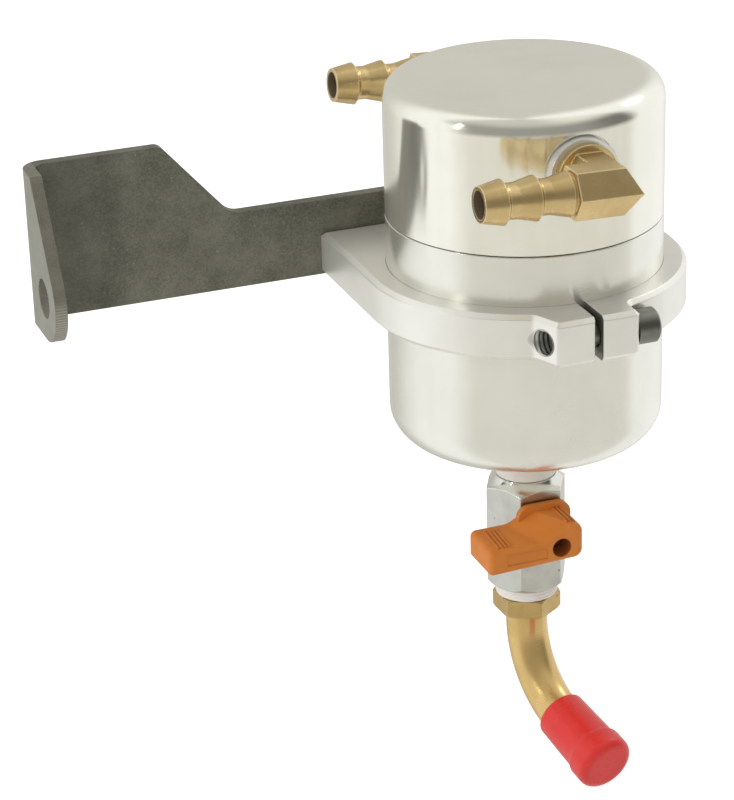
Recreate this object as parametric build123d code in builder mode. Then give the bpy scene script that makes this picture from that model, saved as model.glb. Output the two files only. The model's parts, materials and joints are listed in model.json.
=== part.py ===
"""Oil catch can: a turned can with a screw-on lid, held by a split clamp on a folded steel bracket,
with two hose elbows in the lid and a drain valve with a bent outlet tube underneath.

Millimetres. The origin is the centre of the bracket's bolt hole on the flange's outer face.
+Z is up, +X runs along the bracket towards the can, and -Y is the side of the clamp's split."""
import os
from math import acos, atan2, cos, degrees, hypot, pi, radians, sin, sqrt, tan

from build123d import *

os.makedirs("parts", exist_ok=True)

# Bracket sheet
sheet_thickness = 3.4
bend_inside_radius = 3.0
bolt_hole_radius = 5.5
bolt_hole_to_edge = 11.95           # bolt hole centre to the sheet's bottom edge
bolt_hole_to_back = 19.05           # bolt hole centre to the plate's back face
plate_height = 44.45                # tall end beside the flange
plate_top_length = 39.2             # top edge, from the flange's outer face
plate_slope_end = 58.6              # foot of the slope, from the flange's outer face
arm_height = 22.2
arm_beyond_axis = 42.0              # end of the arm past the can's axis
flange_top_depth = 12.8             # flange depth at its top edge
plate_corner_radius = 3.0
plate_inner_radius = 6.0

# Where the can stands on the bracket
axis_from_flange = 129.2
seam_above_bolt = 14.7

# Can and lid
can_radius = 38.1
lid_height = 38.1
lid_roof = 6.4
lid_top_radius = 5.6
body_depth = 65.0
body_bottom_radius = 9.0
body_floor = 6.5
body_floor_radius = 4.0
chamber_wall = 6.6
sump_wall = 8.1
seam_chamfer = 0.3
spigot_inset = 3.7                  # can's outside to the spigot
spigot_height = 10.0
thread_clearance = 0.3
o_ring_section = 1.8
o_ring_clearance = 0.15
o_ring_height = 2.6

# Ports and elbows
port_height = 22.4
port_thread_radius = 6.7
spot_face_radius = 10.0
spot_face_depth = 1.5
seal_ring_radius = 9.6
seal_ring_thickness = 3.5
fit_clearance = 0.05
collar_radius = 8.45
collar_thickness = 2.1
elbow_throw = 10.6                  # collar's face to the barb's axis
elbow_hexagon_width = 12.7
elbow_leg = 10.0                    # port axis to the hexagon's end face
stub_length = 10.0
elbow_bore = 3.7
barb_ridge = 6.0
barb_neck = 4.75
barb_groove = 5.3
barb_groove_width = 1.0
barb_first = 6.0                    # length of the leading cone
barb_pitch = 9.0
barb_step = 1.1
barb_flat = 2.6
barb_count = 3
inlet_tilt = 1.5
outlet_tilt = 3.0
outlet_stand_off = 2.4              # outlet elbow further out, on a thicker seal ring

# Dip tube, mesh and plate inside the can
dip_tube_radius = 4.6
dip_tube_wall = 0.8
dip_tube_insert = 4.0
dip_tube_bend = 11.0
dip_tube_drop = 36.0                # end of the tube below the seam
mesh_height = 18.0
mesh_hole_radius = 6.0
plate_thickness = 1.5
plate_hole_radius = 2.0
plate_first_ring = 12.0             # radius of the inner ring of holes
plate_ring_spacing = 6.5
plate_ring_count = 3
plate_hole_spacing = 7.5
inner_clearance = 0.2
snap_ring_thickness = 1.5
snap_ring_depth = 1.2
snap_ring_width = 3.2
snap_ring_gap = 9.0

# Split clamp
clamp_height = 12.7
clamp_wall = 6.35
clamp_back_wall = 3.8               # between the can and the bracket
clamp_chamfer = 1.2
lug_half_width = 11.9
lug_offset = -0.2                   # lug's middle from the can's axis, along +X
lug_stand = 5.4                     # lug's front past the ring
lug_slant = 23.0                    # tapped end of the lug, leaning back towards the ring
lug_blend_radius = 2.0
lug_corner_radius = 1.6
slit_width = 2.2
slit_edge_radius = 0.7
clamp_screw_stand = 6.8             # can's outside to the screw's axis
clamp_screw_drop = 0.15             # screw axis below the clamp's middle
clamp_thread_depth = 0.4
clamp_thread_pitch = 1.27
clamp_screw_radius = 3.1
clamp_screw_head_radius = 4.75
clamp_screw_head_height = 6.35
clamp_screw_socket = 4.8
clamp_screw_socket_depth = 3.2
clamp_screw_length = 19.0
clamp_screw_clearance = 0.3
clamp_seat_clearance = 0.8

# Screws behind the bracket
bracket_screw_offset = 32.0
bracket_screw_radius = 3.0
bracket_screw_head_radius = 5.2
bracket_screw_head_height = 3.3
bracket_screw_socket = 4.0
bracket_screw_socket_depth = 2.0
bracket_screw_depth = 11.0
bracket_washer_radius = 6.4
bracket_washer_thickness = 1.2
bracket_hole_clearance = 0.4

# Ball valve
valve_hexagon_width = 21.0
valve_gap = 14.0                    # thread that shows between can and valve
valve_length = 34.4
valve_shoulder_land = 0.2
valve_cone_height = 3.4
valve_cone_hollow = 0.5
valve_end_land = 0.2
valve_end_height = 4.2
valve_end_bulge = 1.0
turning_allowance = 0.5             # turned outline past the hexagon's corners
valve_thread_radius = 8.2
valve_thread_engaged = 5.5
valve_bore = 4.0
tape_thickness = 0.35
stem_drop = 13.0                    # stem axis below the valve's shoulder
ball_radius = 7.5
ball_clearance = 0.15
seat_outer_clearance = 0.1
seat_reach = 8.1                    # ball centre to the seat's outer face
seat_inner_reach = 4.7
retainer_thickness = 3.4
stem_radius = 3.0
stem_running_clearance = 0.06
stem_flange_radius = 4.4
stem_flange_thickness = 1.0
stem_flange_clearance = 0.2
stem_tang_width = 2.4
stem_tang_length = 6.0
stem_tang_depth = 2.2
stem_square = 4.4
boss_radius = 5.4
boss_height = 2.4
packing_radius = 4.3
packing_length = 2.2

# Lever
handle_gap = 0.7                    # valve face to the back of the lever
handle_collar_width = 15.8
handle_collar_height = 16.2
handle_collar_radius = 3.4
handle_collar_thickness = 2.1
handle_depth = 14.0
handle_length = 21.8                # pivot to the free end
handle_head = 6.65                  # pivot to the head's end
handle_head_top = 6.6
handle_head_radius = 3.0
handle_heel_radius = 2.6
handle_top = 3.2                    # above the pivot, along the arm's back edge
handle_top_fall = 1.0               # from the back edge to the front
handle_bottom = 4.1                 # below the pivot, at the head's end
handle_tip_bottom = 5.1             # below the pivot, at the free end
handle_ramp_foot = 10.8             # pivot to the foot of the ramp, along the back
handle_ramp_length = 6.9
handle_ramp_shift = 5.2             # ramp further towards the head along the front
handle_blend_radius = 6.0
handle_edge_radius = 1.6
handle_hole_radius = 2.75
handle_hole_depth = 7.5
handle_web = 1.6
handle_rib_height = 0.4
handle_rib_width = 0.5
handle_rib_pitch = 1.15
handle_arm_ribs = 4
handle_head_ribs = 3
handle_rib_inset = 3.4
handle_head_rib_start = 2.2
handle_rib_margin = 1.8
handle_recess_depth = 0.2
handle_recess_length = 12.0
handle_recess_height = 3.2
handle_recess_start = 4.4
handle_recess_margin = 1.6
handle_boss_clearance = 0.4
handle_screw_radius = 1.4
handle_screw_head_radius = 2.3
handle_screw_head_height = 1.4
handle_screw_length = 6.0
handle_screw_slot = 0.6

# Drain fitting, tube and cap
drain_gap = 3.3                     # valve end to the drain hexagon
drain_hexagon_width = 17.0
drain_hexagon_turn = -26.7
drain_hexagon_height = 5.3
drain_hexagon_bevel = 0.7
drain_bevel_angle = 35.0
drain_thread_engaged = 8.0
drain_tube_radius = 6.0
drain_tube_wall = 1.0
drain_tube_insert = 3.0
drain_straight = 3.9                # hexagon to the start of the bend
drain_bend_radius = 25.3
drain_bend_angle = 75.4
drain_heading = 10.6                # turned from straight ahead towards +X
drain_tail = 17.5
cap_clearance = 0.15
cap_wall = 1.25
cap_flare = 0.45
cap_sleeve = 19.0
cap_bulge = 0.7
cap_bulge_length = 6.7
cap_end = 5.0
cap_end_radius = 2.4
cap_foot_radius = 3.0
cap_bulge_radius = 2.0
cap_rim_radius = 0.5

# Places worked out from the sizes above
plate_back = bolt_hole_to_back
plate_front = plate_back - sheet_thickness
axis_from_plate = can_radius + clamp_back_wall
sheet_bottom = -bolt_hole_to_edge
axis_x = axis_from_flange
axis_y = plate_front - axis_from_plate
seam_z = seam_above_bolt
chamber_radius = can_radius - chamber_wall
sump_radius = can_radius - sump_wall
spigot_radius = can_radius - spigot_inset
socket_radius = spigot_radius + thread_clearance
socket_depth = spigot_height + thread_clearance
spot_face = can_radius - spot_face_depth
collar_start = spot_face + seal_ring_thickness
collar_end = collar_start + collar_thickness
elbow_reach = collar_end + elbow_throw
hexagon_radius = elbow_hexagon_width / sqrt(3)
clamp_ring_radius = can_radius + clamp_wall
lug_reach = clamp_ring_radius + lug_stand
clamp_screw_reach = can_radius + clamp_screw_stand
clamp_mid = sheet_bottom + clamp_height / 2
body_bottom = -body_depth
valve_shoulder = body_depth + valve_gap
valve_bottom = valve_shoulder + valve_length
stem_depth = valve_shoulder + stem_drop
valve_face = valve_hexagon_width / 2
handle_back = valve_face + handle_gap
handle_front = handle_back + handle_depth
tape_radius = valve_thread_radius + tape_thickness
thread_hole_radius = tape_radius + fit_clearance
cavity_radius = thread_hole_radius
valve_shoulder_radius = thread_hole_radius + valve_shoulder_land
valve_end_radius = thread_hole_radius + valve_end_land
drain_bore = drain_tube_radius - drain_tube_wall

can_axis = Axis((axis_x, axis_y, 0), (0, 0, 1))
seam = Plane(origin=(axis_x, axis_y, seam_z))
section = Plane(origin=(axis_x, axis_y, seam_z), x_dir=(1, 0, 0), z_dir=(0, -1, 0))


def port_plane(side, tilt):
    """Plane on the can's axis: z runs out through a port, x along that port's barb."""
    barb_direction = (-cos(radians(tilt)), 0, sin(radians(tilt)))
    origin = (axis_x, axis_y, seam_z + port_height)
    return Plane(origin=origin, x_dir=barb_direction, z_dir=(0, side, 0))


def ring(plane, outer, inner, thickness):
    """Plain ring that stands on a plane."""
    with BuildPart() as made:
        with BuildSketch(plane):
            Circle(outer)
            Circle(inner, mode=Mode.SUBTRACT)
        extrude(amount=thickness)
    return made


inlet_port = port_plane(-1, inlet_tilt)
outlet_port = port_plane(1, outlet_tilt)

# Lid, turned inside and out, with a spot-faced threaded port on each side
with BuildPart() as lid:
    with BuildSketch(section):
        with BuildLine():
            groove_top = o_ring_height + o_ring_section / 2 + o_ring_clearance
            groove_bottom = o_ring_height - o_ring_section / 2 - o_ring_clearance
            groove_radius = spigot_radius + o_ring_section + 2 * o_ring_clearance
            Polyline(
                (0, lid_height),
                (can_radius, lid_height),
                (can_radius, seam_chamfer),
                (can_radius - seam_chamfer, 0),
                (socket_radius, 0),
                (socket_radius, groove_bottom),
                (groove_radius, groove_bottom),
                (groove_radius, groove_top),
                (socket_radius, groove_top),
                (socket_radius, socket_depth),
                (chamber_radius, socket_depth),
                (chamber_radius, lid_height - lid_roof),
                (0, lid_height - lid_roof),
                close=True,
            )
        make_face()
    revolve(axis=can_axis)
    fillet(lid.edges().filter_by(GeomType.CIRCLE).group_by(Axis.Z)[-1], lid_top_radius)
    for port in (inlet_port, outlet_port):
        with BuildSketch(port.offset(spot_face)):
            Circle(spot_face_radius)
        extrude(amount=can_radius, mode=Mode.SUBTRACT)
        with BuildSketch(port):
            Circle(port_thread_radius)
        extrude(amount=can_radius, mode=Mode.SUBTRACT)
lid.part.label = "lid"
export_step(lid.part, "parts/lid.step")

# Can body with its spigot, a step for the baffle plate and a threaded drain hole
plate_seat = -(snap_ring_thickness + mesh_height + plate_thickness)
with BuildPart() as can_body:
    with BuildSketch(section):
        with BuildLine():
            snap_top = inner_clearance / 2
            snap_bottom = -snap_ring_thickness - inner_clearance / 2
            snap_radius = chamber_radius + snap_ring_depth
            Polyline(
                (0, body_bottom),
                (can_radius, body_bottom),
                (can_radius, -seam_chamfer),
                (can_radius - seam_chamfer, 0),
                (spigot_radius, 0),
                (spigot_radius, spigot_height),
                (chamber_radius, spigot_height),
                (chamber_radius, snap_top),
                (snap_radius, snap_top),
                (snap_radius, snap_bottom),
                (chamber_radius, snap_bottom),
                (chamber_radius, plate_seat),
                (sump_radius, plate_seat),
                (sump_radius, body_bottom + body_floor),
                (0, body_bottom + body_floor),
                close=True,
            )
        make_face()
    revolve(axis=can_axis)
    base_edges = can_body.edges().filter_by(GeomType.CIRCLE)
    fillet(base_edges.group_by(Axis.Z)[0], body_bottom_radius)
    floor_edge = can_body.edges().filter_by(GeomType.CIRCLE).filter_by(
        lambda edge: abs(edge.center().Z - seam_z - body_bottom - body_floor) < 0.01
    )
    fillet(floor_edge, body_floor_radius)
    with BuildSketch(seam.offset(body_bottom)):
        Circle(thread_hole_radius)
    extrude(amount=body_floor, mode=Mode.SUBTRACT)
can_body.part.label = "can_body"
export_step(can_body.part, "parts/can_body.step")

# Round sealing ring in the lid's groove, bearing on the spigot
with BuildPart() as lid_o_ring:
    with BuildSketch(section):
        with Locations((spigot_radius + o_ring_clearance + o_ring_section / 2, o_ring_height)):
            Circle(o_ring_section / 2)
    revolve(axis=can_axis)
lid_o_ring.part.label = "lid_o_ring"
export_step(lid_o_ring.part, "parts/lid_o_ring.step")


def barb_outline():
    """Corners of the hose barb's half section: distance from the port axis, then radius."""
    corners = [(elbow_leg, 0), (elbow_leg, barb_groove)]
    start = elbow_leg + barb_groove_width
    corners += [(start, barb_groove), (start, barb_ridge)]
    ridge = start
    for number in range(1, barb_count):
        next_ridge = start + number * barb_pitch
        corners.append((next_ridge - barb_step - barb_flat, barb_neck))
        corners.append((next_ridge - barb_step, barb_neck))
        corners.append((next_ridge, barb_ridge))
        ridge = next_ridge
    tip = ridge + barb_first
    corners += [(tip, barb_neck), (tip, 0)]
    return corners


def make_elbow(port):
    """Brass elbow: threaded stub, round collar, mitred hexagon and hose barb, with its bore.

    The port's plane is where the elbow would be drawn if its collar stood on the inlet's seal ring."""
    corner = port.from_local_coords((0, 0, elbow_reach))
    along_barb = Plane(origin=corner, x_dir=port.x_dir, z_dir=port.y_dir)
    barb_axis = Axis(along_barb.origin, along_barb.x_dir)
    barb_tip = barb_outline()[-1][0]
    stub_end = spot_face - stub_length
    leg_plane = Plane(origin=port.origin, x_dir=port.z_dir, z_dir=port.z_dir.cross(port.x_dir))
    with BuildPart() as elbow:
        with BuildLine(leg_plane) as legs:
            Polyline((collar_end, 0), (elbow_reach, 0), (elbow_reach, elbow_leg))
        with BuildSketch(port.offset(collar_end)):
            RegularPolygon(hexagon_radius, 6)
        sweep(path=legs.wire(), transition=Transition.RIGHT)
        with BuildSketch(port.offset(stub_end)):
            Circle(port_thread_radius - fit_clearance)
        extrude(amount=stub_length + seal_ring_thickness)
        with BuildSketch(port.offset(collar_start)):
            Circle(collar_radius)
        extrude(amount=collar_thickness)
        with BuildSketch(along_barb):
            with BuildLine():
                Polyline(*barb_outline(), close=True)
            make_face()
        revolve(axis=barb_axis)
        with BuildSketch(port.offset(stub_end)):
            Circle(elbow_bore)
        extrude(amount=elbow_reach - stub_end, mode=Mode.SUBTRACT)
        with BuildSketch(Plane(origin=along_barb.origin, z_dir=port.x_dir)):
            Circle(elbow_bore)
        extrude(amount=barb_tip, mode=Mode.SUBTRACT)
        with BuildSketch(port.offset(stub_end)):
            Circle(dip_tube_radius + fit_clearance)
        extrude(amount=dip_tube_insert, mode=Mode.SUBTRACT)
    return elbow


for port, place, stand_off in ((inlet_port, "inlet", 0), (outlet_port, "outlet", outlet_stand_off)):
    elbow = make_elbow(port.offset(stand_off))
    elbow.part.label = f"{place}_elbow"
    export_step(elbow.part, f"parts/{place}_elbow.step")
    seal_seat = port.offset(spot_face)
    seal_ring = ring(seal_seat, seal_ring_radius, port_thread_radius, seal_ring_thickness + stand_off)
    seal_ring.part.label = f"{place}_seal_ring"
    export_step(seal_ring.part, f"parts/{place}_seal_ring.step")

# Dip tube from the inlet elbow's stub to the can's axis, then straight down
stub_end = spot_face - stub_length
dip_plane = Plane(origin=(axis_x, axis_y, seam_z), x_dir=(0, 1, 0), z_dir=(1, 0, 0))
with BuildPart() as dip_tube:
    with BuildLine(dip_plane) as dip_path:
        FilletPolyline(
            (-stub_end - dip_tube_insert, port_height),
            (0, port_height),
            (0, -dip_tube_drop),
            radius=dip_tube_bend,
        )
    with BuildSketch(Plane(origin=dip_path.wire() @ 0, z_dir=dip_path.wire() % 0)):
        Circle(dip_tube_radius)
        Circle(dip_tube_radius - dip_tube_wall, mode=Mode.SUBTRACT)
    sweep(path=dip_path.wire())
dip_tube.part.label = "dip_tube"
export_step(dip_tube.part, "parts/dip_tube.step")

# Perforated plate on the step in the can, the mesh ring on it, and the snap ring above
fitted_radius = chamber_radius - inner_clearance
with BuildPart() as baffle_plate:
    with BuildSketch(seam.offset(plate_seat)):
        Circle(fitted_radius)
        Circle(mesh_hole_radius, mode=Mode.SUBTRACT)
        for number in range(plate_ring_count):
            ring_radius = plate_first_ring + number * plate_ring_spacing
            hole_count = int(2 * pi * ring_radius / plate_hole_spacing)
            with PolarLocations(ring_radius, hole_count):
                Circle(plate_hole_radius, mode=Mode.SUBTRACT)
    extrude(amount=plate_thickness)
baffle_plate.part.label = "baffle_plate"
export_step(baffle_plate.part, "parts/baffle_plate.step")

mesh_base = seam.offset(plate_seat + plate_thickness)
filter_mesh = ring(mesh_base, fitted_radius, mesh_hole_radius, mesh_height)
filter_mesh.part.label = "filter_mesh"
export_step(filter_mesh.part, "parts/filter_mesh.step")

with BuildPart() as retaining_ring:
    with BuildSketch(seam.offset(-snap_ring_thickness)):
        snap_outer = chamber_radius + snap_ring_depth - inner_clearance
        Circle(snap_outer)
        Circle(snap_outer - snap_ring_width, mode=Mode.SUBTRACT)
        with Locations((0, snap_outer)):
            Rectangle(snap_ring_gap, 4 * snap_ring_width, mode=Mode.SUBTRACT)
    extrude(amount=snap_ring_thickness)
retaining_ring.part.label = "retaining_ring"
export_step(retaining_ring.part, "parts/retaining_ring.step")

# Split clamp: ring, square back against the bracket, and the lug with its slit
clamp_base = Plane(origin=(axis_x, axis_y, sheet_bottom))
clamp_screw_plane = Plane(
    origin=(axis_x + lug_offset, axis_y - clamp_screw_reach, clamp_mid - clamp_screw_drop),
    x_dir=(0, 1, 0),
    z_dir=(1, 0, 0),
)
thread_section = Plane(origin=clamp_screw_plane.origin, x_dir=(-1, 0, 0), z_dir=(0, -1, 0))
back_screw_plane = Plane(origin=(axis_x, plate_front, clamp_mid), x_dir=(1, 0, 0), z_dir=(0, -1, 0))


def thread_outline():
    """Half section of the tapped hole, with one groove for each turn of the thread."""
    inner = clamp_screw_radius + fit_clearance
    length = int(clamp_ring_radius / clamp_thread_pitch) * clamp_thread_pitch
    corners = [(length, 0), (0, 0)]
    for turn in range(int(clamp_ring_radius / clamp_thread_pitch)):
        corners.append((turn * clamp_thread_pitch, inner))
        corners.append(((turn + 0.5) * clamp_thread_pitch, inner + clamp_thread_depth))
    corners.append((length, inner))
    return corners


with BuildPart() as clamp:
    with BuildSketch(clamp_base):
        Circle(clamp_ring_radius)
        with Locations((0, axis_from_plate / 2)):
            Rectangle(2 * clamp_ring_radius, axis_from_plate)
        with Locations((0, axis_from_plate + clamp_ring_radius / 2)):
            Rectangle(2 * clamp_ring_radius, clamp_ring_radius, mode=Mode.SUBTRACT)
        with BuildLine():
            lug_lean = (lug_reach - can_radius) * tan(radians(lug_slant))
            Polyline(
                (lug_offset - lug_half_width, -lug_reach),
                (lug_offset - lug_half_width - lug_lean, -can_radius),
                (lug_offset + lug_half_width, -can_radius),
                (lug_offset + lug_half_width, -lug_reach),
                close=True,
            )
        make_face()
        Circle(can_radius + fit_clearance, mode=Mode.SUBTRACT)
    extrude(amount=clamp_height)
    upright = clamp.edges().filter_by(Axis.Z)
    lug_roots = upright.filter_by(
        lambda edge: axis_y - lug_reach < edge.center().Y - 0.1 < axis_y - can_radius
    )
    fillet(lug_roots, lug_blend_radius)
    lug_corners = clamp.edges().filter_by(Axis.Z).group_by(Axis.Y)[0]
    fillet(lug_corners, lug_corner_radius)
    outer_edges = clamp.edges().filter_by(Plane.XY).filter_by(
        lambda edge: edge.geom_type != GeomType.CIRCLE or edge.radius > can_radius + 2 * fit_clearance
    )
    chamfer(outer_edges, clamp_chamfer)
    with BuildSketch(clamp_base):
        with Locations((lug_offset, -lug_reach)):
            Rectangle(slit_width, 2 * (lug_reach - can_radius + clamp_chamfer))
    extrude(amount=clamp_height, mode=Mode.SUBTRACT)
    slit_edges = clamp.edges().filter_by(Axis.Z).filter_by(
        lambda edge: abs(edge.center().Y - axis_y + lug_reach) < 0.01
        and abs(abs(edge.center().X - axis_x - lug_offset) - slit_width / 2) < 0.01
    )
    fillet(slit_edges, slit_edge_radius)
    with BuildSketch(thread_section):
        with BuildLine():
            Polyline(*thread_outline(), close=True)
        make_face()
    revolve(axis=Axis(clamp_screw_plane.origin, clamp_screw_plane.z_dir), mode=Mode.SUBTRACT)
    with BuildSketch(clamp_screw_plane):
        Circle(clamp_screw_radius + clamp_screw_clearance)
    extrude(amount=lug_half_width, mode=Mode.SUBTRACT)
    with BuildSketch(clamp_screw_plane.offset(lug_half_width)):
        Circle(clamp_screw_head_radius + clamp_seat_clearance)
    extrude(amount=clamp_ring_radius, mode=Mode.SUBTRACT)
    with BuildSketch(back_screw_plane):
        with Locations((-bracket_screw_offset, 0), (bracket_screw_offset, 0)):
            Circle(bracket_screw_radius + fit_clearance)
    extrude(amount=bracket_screw_depth + fit_clearance, mode=Mode.SUBTRACT)
clamp.part.label = "clamp"
export_step(clamp.part, "parts/clamp.step")

with BuildPart() as clamp_screw:
    with BuildSketch(clamp_screw_plane.offset(lug_half_width)):
        Circle(clamp_screw_head_radius)
    extrude(amount=clamp_screw_head_height)
    head_rim = clamp_screw.edges().group_by(Axis.X)[-1]
    chamfer(head_rim, clamp_screw_head_height / 10)
    with BuildSketch(clamp_screw_plane.offset(lug_half_width)):
        Circle(clamp_screw_radius)
    extrude(amount=-clamp_screw_length)
    with BuildSketch(clamp_screw_plane.offset(lug_half_width + clamp_screw_head_height)):
        RegularPolygon(clamp_screw_socket / sqrt(3), 6)
    extrude(amount=-clamp_screw_socket_depth, mode=Mode.SUBTRACT)
clamp_screw.part.label = "clamp_screw"
export_step(clamp_screw.part, "parts/clamp_screw.step")

# Bracket: one folded sheet, a long stepped plate and an eared flange with the bolt hole
back_plane = Plane(origin=(0, plate_back, 0), x_dir=(1, 0, 0), z_dir=(0, -1, 0))
flange_plane = Plane(origin=(0, 0, 0), x_dir=(0, 1, 0), z_dir=(1, 0, 0))
plate_top = sheet_bottom + plate_height
arm_top = sheet_bottom + arm_height
arm_end = axis_from_flange + arm_beyond_axis
flange_top = plate_back - flange_top_depth
ear_radius = bolt_hole_to_edge
ear_turn = atan2(plate_top, flange_top) + acos(ear_radius / hypot(flange_top, plate_top))
with BuildPart() as bracket:
    with BuildSketch(back_plane) as plate_outline:
        with BuildLine():
            Polyline(
                (0, sheet_bottom),
                (arm_end, sheet_bottom),
                (arm_end, arm_top),
                (plate_slope_end, arm_top),
                (plate_top_length, plate_top),
                (0, plate_top),
                close=True,
            )
        make_face()
        by_length = plate_outline.vertices().sort_by(Axis.X)
        fillet(by_length[-2:], plate_corner_radius)
        top_corner = plate_outline.vertices().filter_by(lambda v: abs(v.X - plate_top_length) < 0.01)
        fillet(top_corner, plate_corner_radius)
        slope_foot = plate_outline.vertices().filter_by(lambda v: abs(v.X - plate_slope_end) < 0.01)
        fillet(slope_foot, plate_inner_radius)
    extrude(amount=sheet_thickness)
    with BuildSketch(flange_plane):
        with BuildLine():
            Polyline(
                (0, sheet_bottom),
                (plate_back, sheet_bottom),
                (plate_back, plate_top),
                (flange_top, plate_top),
                (ear_radius * cos(ear_turn), ear_radius * sin(ear_turn)),
            )
            CenterArc((0, 0), ear_radius, degrees(ear_turn), 270 - degrees(ear_turn))
        make_face()
    extrude(amount=sheet_thickness)
    uprights = bracket.edges().filter_by(Axis.Z)
    outside_fold = uprights.filter_by(
        lambda edge: abs(edge.center().X) + abs(edge.center().Y - plate_back) < 0.01
    )
    fillet(outside_fold, bend_inside_radius + sheet_thickness)
    inside_fold = bracket.edges().filter_by(Axis.Z).filter_by(
        lambda edge: abs(edge.center().X - sheet_thickness) + abs(edge.center().Y - plate_front) < 0.01
    )
    fillet(inside_fold, bend_inside_radius)
    with BuildSketch(flange_plane):
        Circle(bolt_hole_radius)
    extrude(amount=sheet_thickness, mode=Mode.SUBTRACT)
    with BuildSketch(back_screw_plane):
        with Locations((-bracket_screw_offset, 0), (bracket_screw_offset, 0)):
            Circle(bracket_screw_radius + bracket_hole_clearance)
    extrude(amount=-sheet_thickness, mode=Mode.SUBTRACT)
bracket.part.label = "bracket"
export_step(bracket.part, "parts/bracket.step")

washer_plane = back_screw_plane.offset(-sheet_thickness)
head_plane = washer_plane.offset(-bracket_washer_thickness)
with BuildPart() as bracket_washers:
    with BuildSketch(washer_plane):
        with Locations((-bracket_screw_offset, 0), (bracket_screw_offset, 0)):
            Circle(bracket_washer_radius)
            Circle(bracket_screw_radius + bracket_hole_clearance, mode=Mode.SUBTRACT)
    extrude(amount=-bracket_washer_thickness)
bracket_washers.part.label = "bracket_washers"
export_step(bracket_washers.part, "parts/bracket_washers.step")

with BuildPart() as bracket_screws:
    with BuildSketch(head_plane):
        with Locations((-bracket_screw_offset, 0), (bracket_screw_offset, 0)):
            Circle(bracket_screw_head_radius)
    extrude(amount=-bracket_screw_head_height)
    fillet(bracket_screws.edges().group_by(Axis.Y)[-1], bracket_screw_head_height / 2)
    with BuildSketch(head_plane):
        with Locations((-bracket_screw_offset, 0), (bracket_screw_offset, 0)):
            Circle(bracket_screw_radius)
    extrude(amount=bracket_washer_thickness + sheet_thickness + bracket_screw_depth)
    with BuildSketch(head_plane.offset(-bracket_screw_head_height)):
        with Locations((-bracket_screw_offset, 0), (bracket_screw_offset, 0)):
            RegularPolygon(bracket_screw_socket / sqrt(3), 6)
    extrude(amount=bracket_screw_socket_depth, mode=Mode.SUBTRACT)
bracket_screws.part.label = "bracket_screws"
export_step(bracket_screws.part, "parts/bracket_screws.step")

# Ball valve body: hexagon turned at both ends, male thread on top, cavity open below
valve_corner = valve_hexagon_width / sqrt(3)
valve_turned = valve_corner + turning_allowance
cavity_top = -stem_depth + seat_reach
thread_top = body_bottom + valve_thread_engaged
stem_plane = Plane(origin=(axis_x, axis_y, seam_z - stem_depth), x_dir=(1, 0, 0), z_dir=(0, -1, 0))
with BuildPart() as valve_body:
    with BuildSketch(seam.offset(-valve_bottom)):
        RegularPolygon(valve_corner, 6)
    extrude(amount=valve_bottom - valve_shoulder)
    with BuildSketch(section):
        with BuildLine():
            cone_foot = (valve_turned, -valve_shoulder - valve_cone_height)
            Polyline((0, -valve_bottom), (0, -valve_shoulder), (valve_shoulder_radius, -valve_shoulder))
            SagittaArc((valve_shoulder_radius, -valve_shoulder), cone_foot, -valve_cone_hollow)
            Line(cone_foot, (valve_turned, -valve_bottom + valve_end_height))
            SagittaArc(
                (valve_turned, -valve_bottom + valve_end_height),
                (valve_end_radius, -valve_bottom),
                valve_end_bulge,
            )
            Line((valve_end_radius, -valve_bottom), (0, -valve_bottom))
        make_face()
    revolve(axis=can_axis, mode=Mode.INTERSECT)
    with BuildSketch(seam.offset(-valve_shoulder)):
        Circle(valve_thread_radius)
    extrude(amount=valve_thread_engaged + valve_shoulder - body_depth)
    with BuildSketch(stem_plane):
        Circle(boss_radius)
    extrude(amount=valve_face + boss_height)
    with BuildSketch(seam.offset(-valve_bottom)):
        Circle(cavity_radius)
    extrude(amount=valve_bottom + cavity_top, mode=Mode.SUBTRACT)
    with BuildSketch(seam.offset(-stem_depth)):
        Circle(valve_bore)
    extrude(amount=stem_depth + thread_top, mode=Mode.SUBTRACT)
    with BuildSketch(stem_plane):
        Circle(stem_radius + stem_running_clearance)
    extrude(amount=valve_face + boss_height, mode=Mode.SUBTRACT)
    with BuildSketch(stem_plane):
        Circle(stem_flange_radius + stem_flange_clearance)
    extrude(amount=ball_radius + stem_flange_thickness + stem_flange_clearance, mode=Mode.SUBTRACT)
    with BuildSketch(stem_plane.offset(valve_face + boss_height - packing_length)):
        Circle(packing_radius)
    extrude(amount=packing_length, mode=Mode.SUBTRACT)
valve_body.part.label = "valve_body"
export_step(valve_body.part, "parts/valve_body.step")

with BuildPart() as stem_packing:
    with BuildSketch(stem_plane.offset(valve_face + boss_height - packing_length)):
        Circle(packing_radius - fit_clearance)
        Circle(stem_radius + stem_running_clearance, mode=Mode.SUBTRACT)
    extrude(amount=packing_length)
stem_packing.part.label = "stem_packing"
export_step(stem_packing.part, "parts/stem_packing.step")

# Ball: bored across when the valve is shut, with a slot for the stem's tang
ball_centre = (axis_x, axis_y, seam_z - stem_depth)
ball_plane = Plane(origin=ball_centre, x_dir=(0, 1, 0), z_dir=(1, 0, 0))
with BuildPart() as valve_ball:
    with BuildSketch(ball_plane):
        with BuildLine():
            CenterArc((0, 0), ball_radius, -90, 180)
            Line((0, ball_radius), (0, -ball_radius))
        make_face()
    revolve(axis=Axis(ball_centre, (0, 0, 1)))
    with BuildSketch(ball_plane):
        Circle(valve_bore)
    extrude(amount=2 * ball_radius, both=True, mode=Mode.SUBTRACT)
    with BuildSketch(stem_plane.offset(ball_radius - stem_tang_depth)):
        Rectangle(4 * ball_radius, stem_tang_width + fit_clearance)
    extrude(amount=ball_radius, mode=Mode.SUBTRACT)
valve_ball.part.label = "valve_ball"
export_step(valve_ball.part, "parts/valve_ball.step")


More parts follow.
